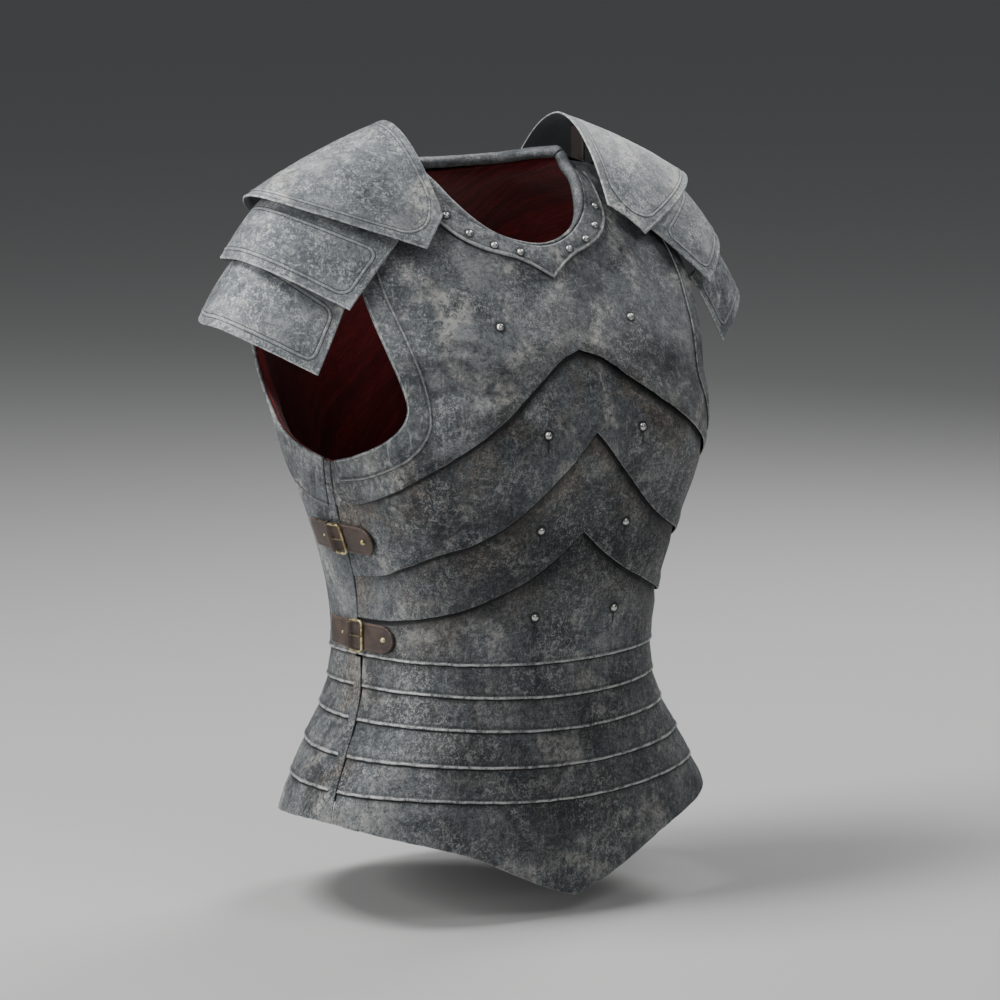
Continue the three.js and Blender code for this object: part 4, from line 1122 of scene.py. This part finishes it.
def strap(level, start, end, round_tip):
    """A strap lying on the plates, dipping towards the joint. The front one is rounded at its
    tip, the back one is folded over the rear bar of the buckle."""
    y = start + np.sign(end - start) * spread(abs(end - start), 1.4, NEAR_EDGE[:8])
    half = STRAP["height"] / 2
    reach = np.ones_like(y)
    if round_tip:
        near = np.minimum(np.abs(y - start) / (half * 1.05), 1)
        reach = np.maximum(np.sqrt(1 - (1 - near) ** 2), 0.03)
    up = (2 * spread(2 * half, 1.6, NEAR_EDGE[:8]) / (2 * half) - 1)[:, None]
    z = level + up * half * reach[None]
    y = np.broadcast_to(y, z.shape)
    base, out = on_skin(side_angle(y, z), z)
    crown = 0.5 * (1 - up ** 2) - fall(np.abs(y - end), 1, 9)
    stitch = np.minimum(half * reach[None] * (1 - np.abs(up)), np.abs(y - start) + 0.5)
    press = -0.30 * ridge(stitch - 2.6, 0.5)
    rear_bar = BUCKLE["y"] + BUCKLE["width"] / 2 - BUCKLE["inset"]
    fold = 0 if round_tip else ridge(y - rear_bar, 2.9, 4)
    relief = STRAP["lift"] + crown + press + 4.0 * fold + 0.12 * noise(base, 7, 22)
    return shell(base, out, mix(LEATHER, 1.2, fold), relief)


def buckle(level):
    """A rounded rectangular frame and its tongue."""
    angle = side_angle(BUCKLE["y"], level)
    origin, out = on_skin(angle, level, BUCKLE["lift"])
    along = unit(skin(angle + 0.5, level) - skin(angle - 0.5, level))
    up = np.cross(out, along)
    w, h = (BUCKLE[size] / 2 - BUCKLE["inset"] for size in ("width", "height"))
    r = BUCKLE["corner"]
    path = []
    for start, x, y in ((0, w - r, h - r), (90, r - w, h - r), (180, r - w, r - h),
                        (270, w - r, r - h)):
        t = np.radians(np.linspace(start, start + 90, 9))
        path += zip(x + r * np.cos(t), y + r * np.sin(t))
    path = np.array(path)
    loop = []
    for a, b in zip(path, np.roll(path, -1, 0)):
        n = max(int(np.hypot(*(b - a)) / 1.5), 1)
        loop += [mix(a, b, k / n) for k in range(n)]
    loop = np.array(loop)
    bow = -0.9 * (loop[:, :1] / w) ** 2
    points = origin + loop[:, :1] * along + loop[:, 1:] * up + out * bow
    ring = tube(points, BUCKLE["bar"] + 0.06 * noise(points, 4, 31), 14, closed=True, up=out)
    x = np.linspace(w + 0.6, -w - 0.4, 22)
    rise = 0.2 + 0.5 * np.sin(np.pi * (x - x[-1]) / (x[0] - x[-1]))
    spine = origin + x[:, None] * along + out * rise[:, None]
    tongue = tube(spine, np.linspace(*TONGUE, 22), 12, up=up)
    # The tongue is tarnished all over by the same mark
    return together(ring, filled(tongue, lap=1))


for i, name in enumerate(("upper", "lower")):
    level = STRAP["levels"][i]
    front = strap(level, STRAP["tip"], STRAP["joint"] - 0.3, True)
    back = strap(level, STRAP["end"], STRAP["joint"] + 0.7, False)
    studs = together(*(dome(*on_skin(side_angle(y, level), level, lift), size, seed)
                       for y, lift, size, seed in (
        (STRAP["tip"] + 10, 3.45, STRAP_HEAD, i), (STRAP["joint"] + 24, 3.4, SMALL_HEAD, i + 3))))
    for tag, turned in (("l", lambda part: part), ("r", mirrored)):
        for label, part, look, node in (
                ("side_strap_front", front, LEATHER_BROWN, "strap_front"),
                ("side_strap_back", back, LEATHER_BROWN, "strap_back"),
                ("side_buckle", buckle(level), BRASS, "buckle"),
                ("strap_rivets", studs, BRASS, "strap_front")):
            make_object(f"{label}_{name}_{tag}", turned(part), look, f"{node}_{name}_{tag}")

# ---- floor, lights and camera

FLOOR_LEVEL = -0.626
bpy.ops.mesh.primitive_plane_add(size=240, location=(0, 0, FLOOR_LEVEL))
floor = bpy.context.object
floor.name = "floor"
paper = Look("floor_paper")
paper.color = (0.50, 0.50, 0.495)
paper.set(Roughness=0.9)
floor.data.materials.append(paper.material)

world = bpy.data.worlds.new("studio")
bpy.context.scene.world = world
world.use_nodes = True
world.node_tree.nodes["Background"].inputs[0].default_value = (0.80, 0.82, 0.85, 1)
world.node_tree.nodes["Background"].inputs[1].default_value = 0.13


def towards(direction):
    return Vector(direction).to_track_quat("-Z", "Y").to_euler()


middle = Vector((0.0, 0.0, -0.25))
for name, place, size, power in (
        ("key", (-1.2, 0.4, 2.1), (1.2, 1.2), 72), ("side", (-2.5, 0.45, 0.6), (0.9, 1.3), 52),
        ("fill", (0.2, -2.4, 1.9), (1.6, 1.2), 20), ("rim", (1.9, 0.7, 1.3), (0.9, 0.9), 36)):
    light = bpy.data.lights.new(name, "AREA")
    light.shape = "RECTANGLE"
    light.size, light.size_y = size
    light.energy = power
    made = put_in_scene(name, light)
    made.location = place
    made.rotation_euler = towards(middle - Vector(place))

turn, rise, distance = math.radians(-38), math.radians(8), 4.25
aim = Vector((0.0108, 0.0, -0.290))
view = Vector((math.sin(turn) * math.cos(rise), -math.cos(turn) * math.cos(rise), math.sin(rise)))
lens = bpy.data.cameras.new("camera")
lens.sensor_width = 36
lens.lens = 180
camera = put_in_scene("camera", lens)
camera.location = aim + view * distance
camera.rotation_euler = towards(-view)
bpy.context.scene.camera = camera
